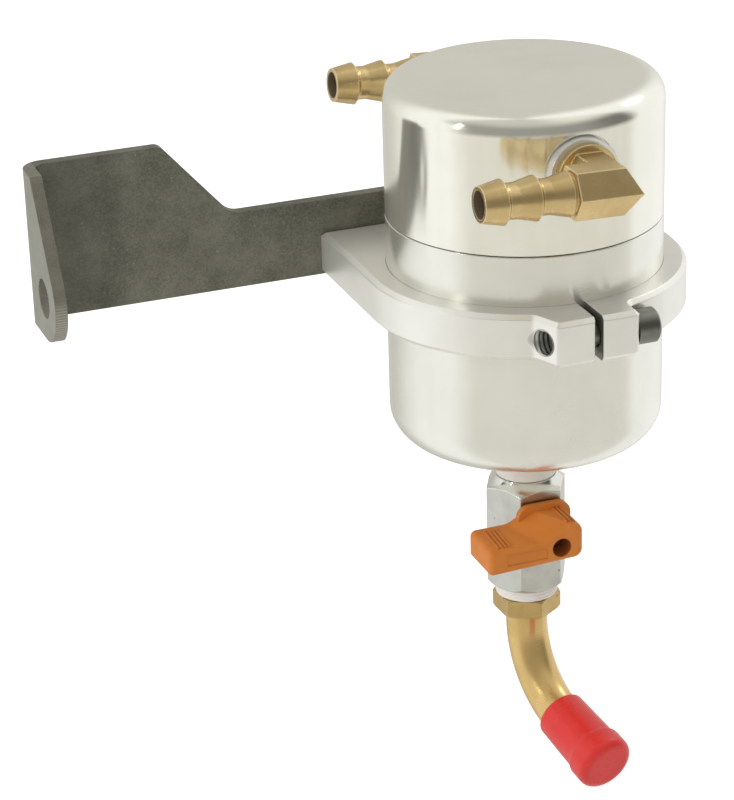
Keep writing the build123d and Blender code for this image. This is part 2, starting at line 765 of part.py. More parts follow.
def make_seat(upwards):
    """Soft seat ring with a hollow that follows the ball."""
    seat_radius = cavity_radius - seat_outer_clearance
    height = seat_reach - seat_inner_reach
    start = -stem_depth + upwards * seat_inner_reach
    with BuildPart() as seat:
        with BuildSketch(seam.offset(start)):
            Circle(seat_radius)
            Circle(valve_bore, mode=Mode.SUBTRACT)
        extrude(amount=upwards * height)
        with BuildSketch(ball_plane):
            with BuildLine():
                CenterArc((0, 0), ball_radius + ball_clearance, -90, 180)
                Line((0, ball_radius + ball_clearance), (0, -ball_radius - ball_clearance))
            make_face()
        revolve(axis=Axis(ball_centre, (0, 0, 1)), mode=Mode.SUBTRACT)
    return seat


upper_seat = make_seat(1)
upper_seat.part.label = "upper_seat"
export_step(upper_seat.part, "parts/upper_seat.step")
lower_seat = make_seat(-1)
lower_seat.part.label = "lower_seat"
export_step(lower_seat.part, "parts/lower_seat.step")

retainer_base = seam.offset(-stem_depth - seat_reach - retainer_thickness)
valve_retainer = ring(retainer_base, cavity_radius - fit_clearance, valve_bore, retainer_thickness)
valve_retainer.part.label = "valve_retainer"
export_step(valve_retainer.part, "parts/valve_retainer.step")

# Stem: tang in the ball, shoulder inside the cavity, round shank, square end in the lever
square_start = valve_face + boss_height
square_end = handle_front - handle_hole_depth - handle_web
with BuildPart() as valve_stem:
    with BuildSketch(stem_plane.offset(ball_radius - stem_tang_depth + fit_clearance)):
        Rectangle(stem_tang_length, stem_tang_width)
    extrude(amount=stem_tang_depth)
    with BuildSketch(stem_plane.offset(ball_radius)):
        Circle(stem_flange_radius)
    extrude(amount=stem_flange_thickness)
    with BuildSketch(stem_plane.offset(ball_radius + stem_flange_thickness)):
        Circle(stem_radius)
    extrude(amount=square_start - ball_radius - stem_flange_thickness)
    with BuildSketch(stem_plane.offset(square_start)):
        Rectangle(stem_square, stem_square)
    extrude(amount=square_end - square_start)
    with BuildSketch(stem_plane.offset(square_end)):
        Circle(handle_screw_radius + fit_clearance)
    extrude(amount=-handle_screw_length, mode=Mode.SUBTRACT)
valve_stem.part.label = "valve_stem"
export_step(valve_stem.part, "parts/valve_stem.step")

# Lever: square collar behind, a deep arm to one side with a ramp up to its head, grip ribs,
# and a screw hole at the pivot
with BuildPart() as valve_handle:
    with BuildSketch(stem_plane.offset(handle_back)) as arm_outline:
        with BuildLine():
            Polyline(
                (-handle_length, -handle_tip_bottom),
                (handle_head, -handle_bottom),
                (handle_head, handle_head_top),
                (-handle_length, handle_head_top),
                close=True,
            )
        make_face()
        head_corners = arm_outline.vertices().sort_by(Axis.X)[-2:]
        fillet(head_corners.sort_by(Axis.Y)[-1], handle_head_radius)
        heel_corner = arm_outline.vertices().sort_by(Axis.Y)[1]
        fillet(heel_corner, handle_heel_radius)
    extrude(amount=handle_depth)
    with BuildSketch(stem_plane.offset(handle_back)) as above_arm:
        with BuildLine():
            ramp_rise = handle_head_top - handle_top
            Polyline(
                (-2 * handle_length, handle_top),
                (-handle_ramp_foot, handle_top),
                (2 * handle_ramp_length - handle_ramp_foot, handle_top + 2 * ramp_rise),
                (-2 * handle_length, handle_top + 2 * ramp_rise),
                close=True,
            )
        make_face()
        ramp_foot = above_arm.vertices().sort_by(Axis.Y)[:2].sort_by(Axis.X)[-1]
        fillet(ramp_foot, handle_blend_radius)
    ramp_way = Vector(handle_ramp_shift, -handle_depth, -handle_top_fall)
    extrude(amount=ramp_way.length, dir=ramp_way, mode=Mode.SUBTRACT)
    front_rim = valve_handle.faces().sort_by(Axis.Y)[0].edges()
    end_rim = valve_handle.faces().sort_by(Axis.X)[0].edges().sort_by(Axis.Y)[1:-1]
    fillet(front_rim + end_rim, handle_edge_radius)
    with BuildSketch(stem_plane.offset(handle_back)):
        RectangleRounded(handle_collar_width, handle_collar_height, handle_collar_radius)
    extrude(amount=handle_collar_thickness)
    rib_way = Vector(0, -handle_depth, -handle_top_fall)
    rib_share = (handle_depth - 2 * handle_rib_margin) / handle_depth
    with BuildSketch(stem_plane.offset(handle_back + handle_rib_margin)):
        rib_base = handle_top - handle_top_fall * handle_rib_margin / handle_depth
        for number in range(handle_arm_ribs):
            arm_rib = -handle_length + handle_rib_inset + number * handle_rib_pitch
            with Locations((arm_rib, rib_base)):
                Rectangle(handle_rib_width, 2 * handle_rib_height)
    extrude(amount=rib_way.length * rib_share, dir=rib_way)
    with BuildSketch(stem_plane.offset(handle_back + handle_collar_thickness)):
        round_start = handle_head - handle_head_radius
        for number in range(handle_head_ribs):
            head_rib = handle_head_rib_start + number * handle_rib_pitch
            past_start = max(0, head_rib - round_start)
            round_drop = handle_head_radius - sqrt(handle_head_radius**2 - past_start**2)
            with Locations((head_rib, handle_head_top - round_drop)):
                Rectangle(handle_rib_width, 2 * handle_rib_height)
    extrude(amount=handle_depth - handle_collar_thickness - handle_rib_margin)
    with BuildSketch(stem_plane.offset(handle_front)):
        recess_middle = -handle_recess_start - handle_recess_length / 2
        recess_height = -handle_bottom + handle_recess_margin + handle_recess_height / 2
        with Locations((recess_middle, recess_height)):
            Rectangle(handle_recess_length, handle_recess_height)
    extrude(amount=-handle_recess_depth, mode=Mode.SUBTRACT)
    with BuildSketch(stem_plane.offset(handle_back)):
        Circle(boss_radius + handle_boss_clearance)
    extrude(amount=boss_height - handle_gap + handle_boss_clearance, mode=Mode.SUBTRACT)
    with BuildSketch(stem_plane.offset(handle_back)):
        Rectangle(stem_square + 2 * fit_clearance, stem_square + 2 * fit_clearance)
    extrude(amount=square_end - handle_back, mode=Mode.SUBTRACT)
    with BuildSketch(stem_plane.offset(square_end)):
        Circle(handle_screw_radius + fit_clearance)
    extrude(amount=handle_web, mode=Mode.SUBTRACT)
    with BuildSketch(stem_plane.offset(handle_front)):
        Circle(handle_hole_radius)
    extrude(amount=-handle_hole_depth, mode=Mode.SUBTRACT)
valve_handle.part.label = "valve_handle"
export_step(valve_handle.part, "parts/valve_handle.step")

screw_seat = handle_front - handle_hole_depth
with BuildPart() as handle_screw:
    with BuildSketch(stem_plane.offset(screw_seat)):
        Circle(handle_screw_head_radius)
    extrude(amount=handle_screw_head_height)
    with BuildSketch(stem_plane.offset(screw_seat)):
        Circle(handle_screw_radius)
    extrude(amount=-handle_screw_length)
    with BuildSketch(stem_plane.offset(screw_seat + handle_screw_head_height)):
        Rectangle(3 * handle_screw_head_radius, handle_screw_slot)
        Rectangle(handle_screw_slot, 3 * handle_screw_head_radius)
    extrude(amount=-handle_screw_head_height / 2, mode=Mode.SUBTRACT)
handle_screw.part.label = "handle_screw"
export_step(handle_screw.part, "parts/handle_screw.step")

# Thread tape wound on the two male threads, where it shows
upper_tape_base = seam.offset(-valve_shoulder)
upper_tape_length = valve_shoulder - body_depth
upper_tape = ring(upper_tape_base, tape_radius, valve_thread_radius, upper_tape_length)
upper_tape.part.label = "upper_tape"
export_step(upper_tape.part, "parts/upper_tape.step")
drain_top = -valve_bottom - drain_gap
lower_tape = ring(seam.offset(drain_top), tape_radius, valve_thread_radius, drain_gap)
lower_tape.part.label = "lower_tape"
export_step(lower_tape.part, "parts/lower_tape.step")

# Drain fitting: bevelled hexagon with a male thread above and a socket for the tube below
drain_corner = drain_hexagon_width / sqrt(3)
drain_bottom = drain_top - drain_hexagon_height
drain_turned = drain_corner + turning_allowance
bevel_rise = (drain_hexagon_bevel + turning_allowance) * tan(radians(drain_bevel_angle))
with BuildPart() as drain_fitting:
    with BuildSketch(seam.offset(drain_bottom)):
        RegularPolygon(drain_corner, 6, rotation=drain_hexagon_turn)
    extrude(amount=drain_hexagon_height)
    with BuildSketch(section):
        with BuildLine():
            Polyline(
                (0, drain_bottom),
                (drain_corner - drain_hexagon_bevel, drain_bottom),
                (drain_turned, drain_bottom + bevel_rise),
                (drain_turned, drain_top - bevel_rise),
                (drain_corner - drain_hexagon_bevel, drain_top),
                (0, drain_top),
                close=True,
            )
        make_face()
    revolve(axis=can_axis, mode=Mode.INTERSECT)
    with BuildSketch(seam.offset(drain_top)):
        Circle(valve_thread_radius)
    extrude(amount=drain_gap + drain_thread_engaged)
    with BuildSketch(seam.offset(drain_bottom)):
        Circle(drain_bore)
    extrude(amount=drain_hexagon_height + drain_gap + drain_thread_engaged, mode=Mode.SUBTRACT)
    with BuildSketch(seam.offset(drain_bottom)):
        Circle(drain_tube_radius + fit_clearance)
    extrude(amount=drain_tube_insert, mode=Mode.SUBTRACT)
drain_fitting.part.label = "drain_fitting"
export_step(drain_fitting.part, "parts/drain_fitting.step")

# Drain tube: short straight, one bend forwards, and a straight end
heading = Vector(sin(radians(drain_heading)), -cos(radians(drain_heading)), 0)
bend_start = drain_bottom - drain_straight
bend_plane = Plane(
    origin=(axis_x, axis_y, seam_z + bend_start), x_dir=heading, z_dir=heading.cross(Vector(0, 0, 1))
)
with BuildPart() as drain_tube:
    with BuildLine(bend_plane) as drain_path:
        Line((0, drain_straight + drain_tube_insert), (0, 0))
        drain_bend = JernArc((0, 0), (0, -1), drain_bend_radius, drain_bend_angle)
        PolarLine(drain_bend @ 1, drain_tail, direction=drain_bend % 1)
    with BuildSketch(seam.offset(drain_bottom + drain_tube_insert)):
        Circle(drain_tube_radius)
        Circle(drain_tube_radius - drain_tube_wall, mode=Mode.SUBTRACT)
    sweep(path=drain_path.wire())
drain_tube.part.label = "drain_tube"
export_step(drain_tube.part, "parts/drain_tube.step")

# Soft cap: a flared sleeve over the tube's end with a bulged, rounded closed end
tube_end = drain_path.wire() @ 1
tube_direction = drain_path.wire() % 1
cap_section = Plane(origin=tube_end, x_dir=tube_direction, z_dir=bend_plane.z_dir)
cap_inner = drain_tube_radius + cap_clearance
cap_rim = cap_inner + cap_wall
cap_shoulder = cap_rim + cap_flare
with BuildPart() as drain_cap:
    with BuildSketch(cap_section) as cap_outline:
        with BuildLine():
            Polyline(
                (-cap_sleeve, cap_inner),
                (-cap_sleeve, cap_rim),
                (cap_end - cap_bulge_length - 2 * cap_bulge, cap_shoulder),
                (cap_end - cap_bulge_length, cap_shoulder + cap_bulge),
                (cap_end, cap_shoulder + cap_bulge),
                (cap_end, 0),
                (cap_clearance, 0),
                (cap_clearance, cap_inner),
                close=True,
            )
        make_face()
        for along, radius, blend in (
            (cap_end, cap_shoulder + cap_bulge, cap_end_radius),
            (cap_end - cap_bulge_length, cap_shoulder + cap_bulge, cap_bulge_radius),
            (cap_end - cap_bulge_length - 2 * cap_bulge, cap_shoulder, cap_foot_radius),
            (-cap_sleeve, cap_rim, cap_rim_radius),
        ):
            fillet(cap_outline.vertices().sort_by_distance((along, radius, 0))[0], blend)
    revolve(axis=Axis(cap_section.origin, cap_section.x_dir))
drain_cap.part.label = "drain_cap"
export_step(drain_cap.part, "parts/drain_cap.step")
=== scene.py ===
# %% [markdown]
# # Dressing an oil catch can
# The can arrives as exact solids: a turned aluminium lid and body, brass elbows, a split clamp on
# a folded steel bracket, and a small ball valve with a bent drain tube. Their shapes are finished,
# so this lesson is about light, finishes and the few soft or very fine pieces that a solid model
# leaves plain. Everything stays in metres, in the frame that the solids came in.

# %% Load the solids
import json
import math

import bpy
from mathutils import Matrix, Vector


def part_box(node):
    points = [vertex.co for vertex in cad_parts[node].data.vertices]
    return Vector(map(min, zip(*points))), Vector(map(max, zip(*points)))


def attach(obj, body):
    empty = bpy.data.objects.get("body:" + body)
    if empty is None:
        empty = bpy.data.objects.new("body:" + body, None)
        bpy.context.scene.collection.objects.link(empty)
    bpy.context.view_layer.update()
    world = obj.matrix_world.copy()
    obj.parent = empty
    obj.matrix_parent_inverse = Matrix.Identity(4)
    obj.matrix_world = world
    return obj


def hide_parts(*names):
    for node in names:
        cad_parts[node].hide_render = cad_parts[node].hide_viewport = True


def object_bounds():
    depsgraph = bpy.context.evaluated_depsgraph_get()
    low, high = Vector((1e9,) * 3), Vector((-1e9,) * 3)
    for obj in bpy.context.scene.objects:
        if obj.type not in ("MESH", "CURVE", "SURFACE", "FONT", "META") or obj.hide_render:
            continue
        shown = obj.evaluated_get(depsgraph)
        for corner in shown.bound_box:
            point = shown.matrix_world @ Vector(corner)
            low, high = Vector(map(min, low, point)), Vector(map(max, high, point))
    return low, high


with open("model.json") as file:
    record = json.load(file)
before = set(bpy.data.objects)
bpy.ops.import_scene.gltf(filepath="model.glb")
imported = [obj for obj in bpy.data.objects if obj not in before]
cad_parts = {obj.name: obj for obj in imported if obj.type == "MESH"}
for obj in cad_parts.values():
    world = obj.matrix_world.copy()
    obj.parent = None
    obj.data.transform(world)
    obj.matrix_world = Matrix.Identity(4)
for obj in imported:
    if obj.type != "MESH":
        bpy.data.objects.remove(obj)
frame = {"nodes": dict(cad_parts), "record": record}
solids = frame["nodes"]
solid_low, solid_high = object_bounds()
print(len(solids), "solids from", tuple(solid_low), "to", tuple(solid_high))

# %% [markdown]
# ## The places that everything hangs on
# The can is a body of rotation, so most finishes need only its axis. It is read from the lid's own
# box, not typed in, and the same is done for the valve and the clamp's screw. A value that is read
# from the solids stays right when the solids change.

# %% Read the main places
lid_low, lid_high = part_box("lid")
can_middle = (lid_low + lid_high) / 2
axis_x, axis_y = can_middle.x, can_middle.y
can_radius = (lid_high.x - lid_low.x) / 2
seam_height = lid_low.z
print("can axis", round(axis_x, 4), round(axis_y, 4), "radius", round(can_radius, 4))

# %% [markdown]
# ## The camera
# The picture was taken with a long lens from the front left and a little above. A long lens keeps
# the can's sides nearly parallel. The camera is set by its own three directions, because these
# came out of fitting the can's outline, with a small roll that an aimed camera would lose.

# %% Place the camera
camera_place = Vector((-0.16017, -0.69873, 0.27754))
looking = Vector((0.31053, 0.86252, -0.39955)).normalized()
upright = Vector((0, 0, 1))
level_right = looking.cross(upright).normalized()
level_up = level_right.cross(looking)
roll = math.radians(1.77)
camera_right = math.cos(roll) * level_right - math.sin(roll) * level_up
camera_up = math.sin(roll) * level_right + math.cos(roll) * level_up

bpy.ops.object.select_all(action="DESELECT")
bpy.ops.object.camera_add(location=camera_place)
camera = bpy.context.object
camera.name = "picture_camera"
turned = Matrix((camera_right, camera_up, -looking)).transposed()
camera.rotation_euler = turned.to_euler()
camera.data.lens = 127.7
camera.data.sensor_width = 36.0
camera.data.clip_start = 0.01
bpy.context.scene.camera = camera
bpy.context.scene.view_settings.view_transform = "Standard"
print("camera at", tuple(round(value, 3) for value in camera_place))

# %% [markdown]
# ## Helpers for node trees
# Every finish below is a tree of nodes. Adding a node, setting its values and linking its inputs
# takes four lines each time, so one helper does all of that: an input may be a plain value or the
# output of another node. The others are for sums, soft steps and mixed colours, which come up most
# often.

# %% Node helpers
def put(tree, kind, inputs=None, **settings):
    """Add a shader node, set its options, then set or link its inputs."""
    made = tree.nodes.new("ShaderNode" + kind)
    for option, value in settings.items():
        setattr(made, option, value)
    for socket, value in (inputs or {}).items():
        if isinstance(value, bpy.types.NodeSocket):
            tree.links.new(value, made.inputs[socket])
        else:
            made.inputs[socket].default_value = value
    return made


def figure(tree, operation, first, second=0.0, third=0.0):
    """One sum on numbers; returns the result's socket."""
    return put(tree, "Math", {0: first, 1: second, 2: third}, operation=operation).outputs[0]


def times(tree, first, second):
    """A product, for example of a mask and its share."""
    return figure(tree, "MULTIPLY", first, second)


def ramp(tree, value, low, high, to_low=0.0, to_high=1.0):
    """A soft step from one value to another while the input goes from low to high."""
    inputs = {"Value": value, "From Min": low, "From Max": high,
              "To Min": to_low, "To Max": to_high}
    return put(tree, "MapRange", inputs, interpolation_type="SMOOTHSTEP").outputs[0]


def mix_colours(tree, share, first, second):
    """A share of the second colour over the first."""
    return put(tree, "Mix", {0: share, 6: first, 7: second}, data_type="RGBA").outputs[2]


print("helpers ready")

# %% [markdown]
# ## A light tent
# Bare metal shows what stands round it, so a photographer puts such a can into a white tent with
# an opening for the lens. Here the world is that tent. It could be five white cards, but a world
# that answers by direction gives the same reflections without any card in the way. The front is a
# little darker than the sides, the lens opening is dark, and the back is a soft grey. Cloth hangs
# in folds, so a noise that is fed only the compass direction makes faint upright bands. The camera
# itself sees plain white, and diffuse light is even, so colours come out as they are written.

# %% Directions in the tent
def along(tree, vector, direction):
    """How far a vector reaches in a direction."""
    return put(tree, "VectorMath", {0: vector, 1: direction},
               operation="DOT_PRODUCT").outputs["Value"]


def sweep(tree, angle, from_degrees, to_degrees, to_low=0.0, to_high=1.0):
    """A soft step while an angle goes from one number of degrees to another."""
    return ramp(tree, angle, math.radians(from_degrees), math.radians(to_degrees), to_low, to_high)


tent = bpy.data.worlds.new("light_tent")
bpy.context.scene.world = tent
tent.use_nodes = True
tree = tent.node_tree
tree.nodes.clear()
facing = put(tree, "TexCoord").outputs["Generated"]
front = Vector((-looking.x, -looking.y, 0)).normalized()
turn = figure(tree, "ARCTAN2", along(tree, facing, level_right), along(tree, facing, front))
height = put(tree, "SeparateXYZ", {0: facing}).outputs["Z"]

left_lean = math.radians(16)
above = ramp(tree, height, 0.25, 0.60)
left_turn = figure(tree, "MULTIPLY_ADD", above, left_lean, turn)
left_edge = sweep(tree, left_turn, -70, -44)
right_edge = sweep(tree, turn, 86, 102, 1.0, 0.0)
in_front = times(tree, left_edge, right_edge)
behind = figure(tree, "MAXIMUM", sweep(tree, turn, -100, -150), sweep(tree, turn, 142, 178))
print("tent directions ready")

# %% Brightness of the tent's walls
def mix_values(tree, share, first, second):
    """A share of the second number over the first."""
    return put(tree, "Mix", {0: share, 2: first, 3: second}, data_type="FLOAT").outputs[0]


side_level, back_level, floor_level = 1.03, 0.59, 0.79
side_wall = mix_values(tree, behind, side_level, back_level)
lens_opening = sweep(tree, turn, 40, 80, 0.26, 0.10)
floor_end = ramp(tree, height, -0.25, -0.03)
front_floor = mix_values(tree, floor_end, floor_level, lens_opening)
roof = sweep(tree, turn, 10, 70, 0.57, 0.84)
to_roof = ramp(tree, height, 0.48, 0.90)
front_all = mix_values(tree, to_roof, front_floor, roof)
wall = mix_values(tree, in_front, side_wall, front_all)

fold_scale, fold_depth = 8.0, 0.24
fold_place = put(tree, "CombineXYZ", {0: turn}).outputs[0]
folds = put(tree, "TexNoise", {"Vector": fold_place, "Scale": fold_scale, "Detail": 4.0,
                               "Roughness": 0.65}).outputs["Fac"]
folded = figure(tree, "MULTIPLY_ADD", folds, fold_depth, 1.0 - fold_depth / 2)
wall = times(tree, wall, folded)
print("tent walls ready")

# %% Colours of the cloth
cool_cloth, warm_cloth = (0.985, 0.99, 1.0, 1), (1.0, 0.985, 0.925, 1)
even_light, white = (0.74, 0.74, 0.73, 1), (1, 1, 1, 1)
warm_share = figure(tree, "MAXIMUM", in_front, behind)
cloth = mix_colours(tree, warm_share, cool_cloth, warm_cloth)
wall_colour = put(tree, "VectorMath", {0: cloth, "Scale": wall}, operation="SCALE").outputs[0]

rays = put(tree, "LightPath").outputs
mirrored = figure(tree, "MAXIMUM", rays["Is Glossy Ray"], rays["Is Transmission Ray"])
lit = mix_colours(tree, mirrored, even_light, wall_colour)
shown = mix_colours(tree, rays["Is Camera Ray"], lit, white)
background = put(tree, "Background", {"Color": shown, "Strength": 1.0})
put(tree, "OutputWorld", {"Surface": background.outputs[0]})
print("tent has", len(tree.nodes), "nodes")

# %% [markdown]
# ## The floor and the lamps
# The floor is a plain pale sheet a little below the drain cap, which needs that room when it is
# pulled off. Seen by the camera the floor glows a little, so that it turns white, while the can's
# shadow stays. Reflections look through it at the tent. Two soft lamps stand where the bright spots
# on the lid's rounded edge say they stood: a narrow tall one at the front left and a square one at
# the back right. A third large one at the left models the forms, and metal does not show it.

# %% Lay the floor
cap_room, floor_size = 0.0065, 6.0
bpy.ops.object.select_all(action="DESELECT")
bpy.ops.mesh.primitive_plane_add(
    size=floor_size, location=(axis_x, axis_y, solid_low.z - cap_room))
floor = bpy.context.object
floor.name = "pale_floor"
floor_paper = bpy.data.materials.new("floor_paper")
floor_paper.use_nodes = True
tree = floor_paper.node_tree
tree.nodes.clear()
rays = put(tree, "LightPath").outputs
paper = put(tree, "BsdfDiffuse", {"Color": (0.82, 0.82, 0.81, 1)}).outputs[0]
glow = put(tree, "Emission", {"Color": white, "Strength": 0.52}).outputs[0]
bright = put(tree, "AddShader", {0: paper, 1: glow}).outputs[0]
for_camera = put(tree, "MixShader", {0: rays["Is Camera Ray"], 1: paper, 2: bright}).outputs[0]
clear = put(tree, "BsdfTransparent").outputs[0]
for_metal = put(tree, "MixShader", {0: rays["Is Glossy Ray"], 1: for_camera, 2: clear}).outputs[0]
put(tree, "OutputMaterial", {"Surface": for_metal})
floor.data.materials.append(floor_paper)
print("floor at", round(floor.location.z, 4))

# %% Set the lamps
def soft_lamp(name, turn_degrees, rise_degrees, distance, width, length, watts):
    """An oblong lamp that looks at the can from a direction measured from the camera's side."""
    turn, rise = math.radians(turn_degrees), math.radians(rise_degrees)
    flat = math.cos(turn) * front + math.sin(turn) * level_right
    toward = math.cos(rise) * flat + math.sin(rise) * upright
    bpy.ops.object.light_add(type="AREA", location=can_middle + distance * toward)
    lamp = bpy.context.object
    lamp.name = name
    lamp.rotation_euler = toward.to_track_quat("Z", "Y").to_euler()
    lamp.data.shape = "RECTANGLE"
    lamp.data.size = width
    lamp.data.size_y = length
    lamp.data.energy = watts
    print(name, "gives", watts, "watts")
    return lamp


soft_lamp("left_lamp", -58, 22, distance=1.3, width=0.03, length=0.45, watts=0.8)
soft_lamp("right_lamp", 128, 38, distance=1.3, width=0.20, length=0.20, watts=1.4)
side_lamp = soft_lamp("side_lamp", -75, 25, distance=1.4, width=0.8, length=0.8, watts=6.0)
side_lamp.visible_glossy = False

# %% [markdown]
# ## Shared effects as node groups
# Four effects come back in many finishes: fine lathe lines, softened edges, uneven patches and
# hairline scratches. Each is built once as a group with named sockets and then placed in a material
# with its own values. A group only hands out numbers, masks and normals. The shader itself stays in
# the material, where a reader looks for it.

# %% A helper that starts a group
def start_group(name, inputs, outputs):
    """A new group with float inputs and the named outputs; returns tree, inputs and outputs."""
    group = bpy.data.node_groups.new(name, "ShaderNodeTree")
    for label, value in inputs.items():
        socket = group.interface.new_socket(label, in_out="INPUT", socket_type="NodeSocketFloat")
        socket.default_value = value
    for label, kind in outputs.items():
        group.interface.new_socket(label, in_out="OUTPUT", socket_type="NodeSocket" + kind)
    given = group.nodes.new("NodeGroupInput").outputs
    handed_out = group.nodes.new("NodeGroupOutput").inputs
    return group, given, handed_out


print("group helper ready")

# %% [markdown]
# ### Lathe lines
# A lathe tool leaves rings round the turning axis. On a wall they change with height, on a flat end
# they change with radius. A noise that is fed only radius and height gives both at once, and it
# also runs cleanly over the rounded edge between them.

# %% Lathe lines
def spot_of(tree):
    """Where a surface point lies, as X, Y and Z in the object's own coordinates."""
    return put(tree, "SeparateXYZ", {0: put(tree, "TexCoord").outputs["Object"]}).outputs


lathe_lines, given, handed_out = start_group(
    "lathe_lines", {"Axis X": 0.0, "Axis Y": 0.0, "Lines per Metre": 2500.0}, {"Lines": "Float"})
spot = spot_of(lathe_lines)
off_x = figure(lathe_lines, "SUBTRACT", spot["X"], given["Axis X"])
off_y = figure(lathe_lines, "SUBTRACT", spot["Y"], given["Axis Y"])
squares = figure(lathe_lines, "ADD", times(lathe_lines, off_x, off_x),
                 times(lathe_lines, off_y, off_y))
radius = figure(lathe_lines, "SQRT", squares)
ring_place = put(lathe_lines, "CombineXYZ", {0: radius, 1: spot["Z"]}).outputs[0]
ring_scaled = put(lathe_lines, "VectorMath", {0: ring_place, "Scale": given["Lines per Metre"]},
                  operation="SCALE").outputs[0]
ring_noise = put(lathe_lines, "TexNoise", {"Vector": ring_scaled, "Scale": 1.0, "Detail": 3.0})
lathe_lines.links.new(ring_noise.outputs["Fac"], handed_out["Lines"])
print("group", lathe_lines.name)

# %% [markdown]
# ### Softened edges
# No real edge is perfectly sharp: a broken edge catches a thin line of light. The Bevel node gives
# a normal that is rounded near an edge, without touching the mesh. Where it differs from the plain
# normal there is an edge, so the same node also gives a mask for wear.

# %% Softened edges
soft_edges, given, handed_out = start_group(
    "soft_edges", {"Radius": 0.0003}, {"Normal": "Vector", "Edge": "Float"})
rounded = put(soft_edges, "Bevel", {"Radius": given["Radius"]}, samples=6).outputs[0]
plain = put(soft_edges, "NewGeometry").outputs["Normal"]
flat_agrees, edge_agrees = 0.999, 0.88
edge = ramp(soft_edges, along(soft_edges, rounded, plain), flat_agrees, edge_agrees)
soft_edges.links.new(rounded, handed_out["Normal"])
soft_edges.links.new(edge, handed_out["Edge"])
print("group", soft_edges.name)

# %% [markdown]
# ### Patches and specks
# Handling, storage and oxide leave broad uneven patches and small specks. Broad noise gives the
# patches. For the specks a fine noise is cut off high, so that only its peaks stay.

# %% Patches and specks
patches, given, handed_out = start_group(
    "patches", {"Patch Scale": 60.0, "Speck Scale": 1500.0, "Speck Share": 0.35},
    {"Patch": "Float", "Specks": "Float", "Grain": "Float"})
point = put(patches, "TexCoord").outputs["Object"]
broad = put(patches, "TexNoise", {"Vector": point, "Scale": given["Patch Scale"], "Detail": 5.0,
                                  "Roughness": 0.6}).outputs["Fac"]
fine = put(patches, "TexNoise", {"Vector": point, "Scale": given["Speck Scale"],
                                 "Detail": 2.0}).outputs["Fac"]
highest_cut, cut_reach, speck_fade = 0.80, 0.3, 0.06
cut = figure(patches, "SUBTRACT", highest_cut, times(patches, given["Speck Share"], cut_reach))
speck = put(patches, "MapRange", {"Value": fine, "From Min": cut,
                                  "From Max": figure(patches, "ADD", cut, speck_fade)}).outputs[0]
patches.links.new(ramp(patches, broad, 0.3, 0.7), handed_out["Patch"])
patches.links.new(speck, handed_out["Specks"])
patches.links.new(fine, handed_out["Grain"])
print("group", patches.name)

# %% [markdown]
# ### Hairline scratches
# A scratch is a long thin line. Noise that is stretched a hundred times along one direction looks
# like a bundle of them, and a narrow band of its values leaves only hairlines. A second, slower
# noise breaks the lines up, so that they start and stop.

# %% Hairline scratches
scratches, given, handed_out = start_group(
    "scratches", {"Across": 900.0, "Along": 14.0, "Slant": 0.6}, {"Scratch": "Float"})
point = put(scratches, "TexCoord").outputs["Object"]
slant = put(scratches, "CombineXYZ", dict.fromkeys((0, 1, 2), given["Slant"])).outputs[0]
stretch = put(scratches, "CombineXYZ", {0: given["Along"], 1: given["Across"],
                                        2: given["Across"]}).outputs[0]
stretched = put(scratches, "Mapping", {"Vector": point, "Rotation": slant,
                                       "Scale": stretch}).outputs[0]
bundle = put(scratches, "TexNoise", {"Vector": stretched, "Scale": 1.0,
                                     "Detail": 1.0}).outputs["Fac"]
hair_level, hair_width = 0.62, 0.012
from_level = figure(scratches, "ABSOLUTE", figure(scratches, "SUBTRACT", bundle, hair_level))
thin = ramp(scratches, from_level, 0.0, hair_width, 1.0, 0.0)
slow = put(scratches, "TexNoise", {"Vector": point, "Scale": 120.0, "Detail": 1.0}).outputs["Fac"]
broken = times(scratches, thin, ramp(scratches, slow, 0.5, 0.62))
scratches.links.new(broken, handed_out["Scratch"])
print("group", scratches.name)

# %% [markdown]
# ## Starting a finish
# Each finish starts the same way: a new material, one Principled shader and its output. The helper
# returns the tree and the shader, and plain values that are the same all over the surface go
# straight onto the shader's sockets. The helpers after it link what does change over the surface:
# colours, roughness and a shallow relief.

# %% Start a finish
def start_finish(name, **plain_values):
    """A material with one Principled shader; plain values are set on the shader's own sockets."""
    finish = bpy.data.materials.new(name)
    finish.use_nodes = True
    tree = finish.node_tree
    tree.nodes.clear()
    shader = put(tree, "BsdfPrincipled")
    put(tree, "OutputMaterial", {"Surface": shader.outputs[0]})
    for socket, value in plain_values.items():
        shader.inputs[socket.replace("_", " ")].default_value = value
    return finish, tree, shader


def wear(node_names, finish):
    """Give solids a finish in place of the plain one that they came with."""
    for name in node_names:
        solids[name].data.materials.clear()
        solids[name].data.materials.append(finish)
    print(finish.name, "on", ", ".join(node_names))


def tint(tree, shade, mask, share, colour):
    """Mix a share of a colour into a shade where the mask says so."""
    return mix_colours(tree, times(tree, mask, share), shade, colour)


def roughen(tree, shader, level, *marks):
    """Link a roughness: a level, and what each mark adds to it or takes away."""
    for mark, amount in marks:
        level = figure(tree, "MULTIPLY_ADD", mark, amount, level)
    tree.links.new(level, shader.inputs["Roughness"])


def emboss(tree, shader, relief, depth, **under):
    """Raise the surface by a shallow relief, over softened edges where their normal is given."""
    bump = put(tree, "Bump", {"Height": relief, "Distance": depth, "Strength": 1.0, **under})
    tree.links.new(bump.outputs[0], shader.inputs["Normal"])
    return bump


print("finish helpers ready")

# %% Place the shared effects
def uneven_in(tree, patch_scale, speck_scale, speck_share):
    """Patches and specks at these scales; returns Patch, Specks and Grain."""
    scales = {"Patch Scale": patch_scale, "Speck Scale": speck_scale, "Speck Share": speck_share}
    return put(tree, "Group", scales, node_tree=patches).outputs


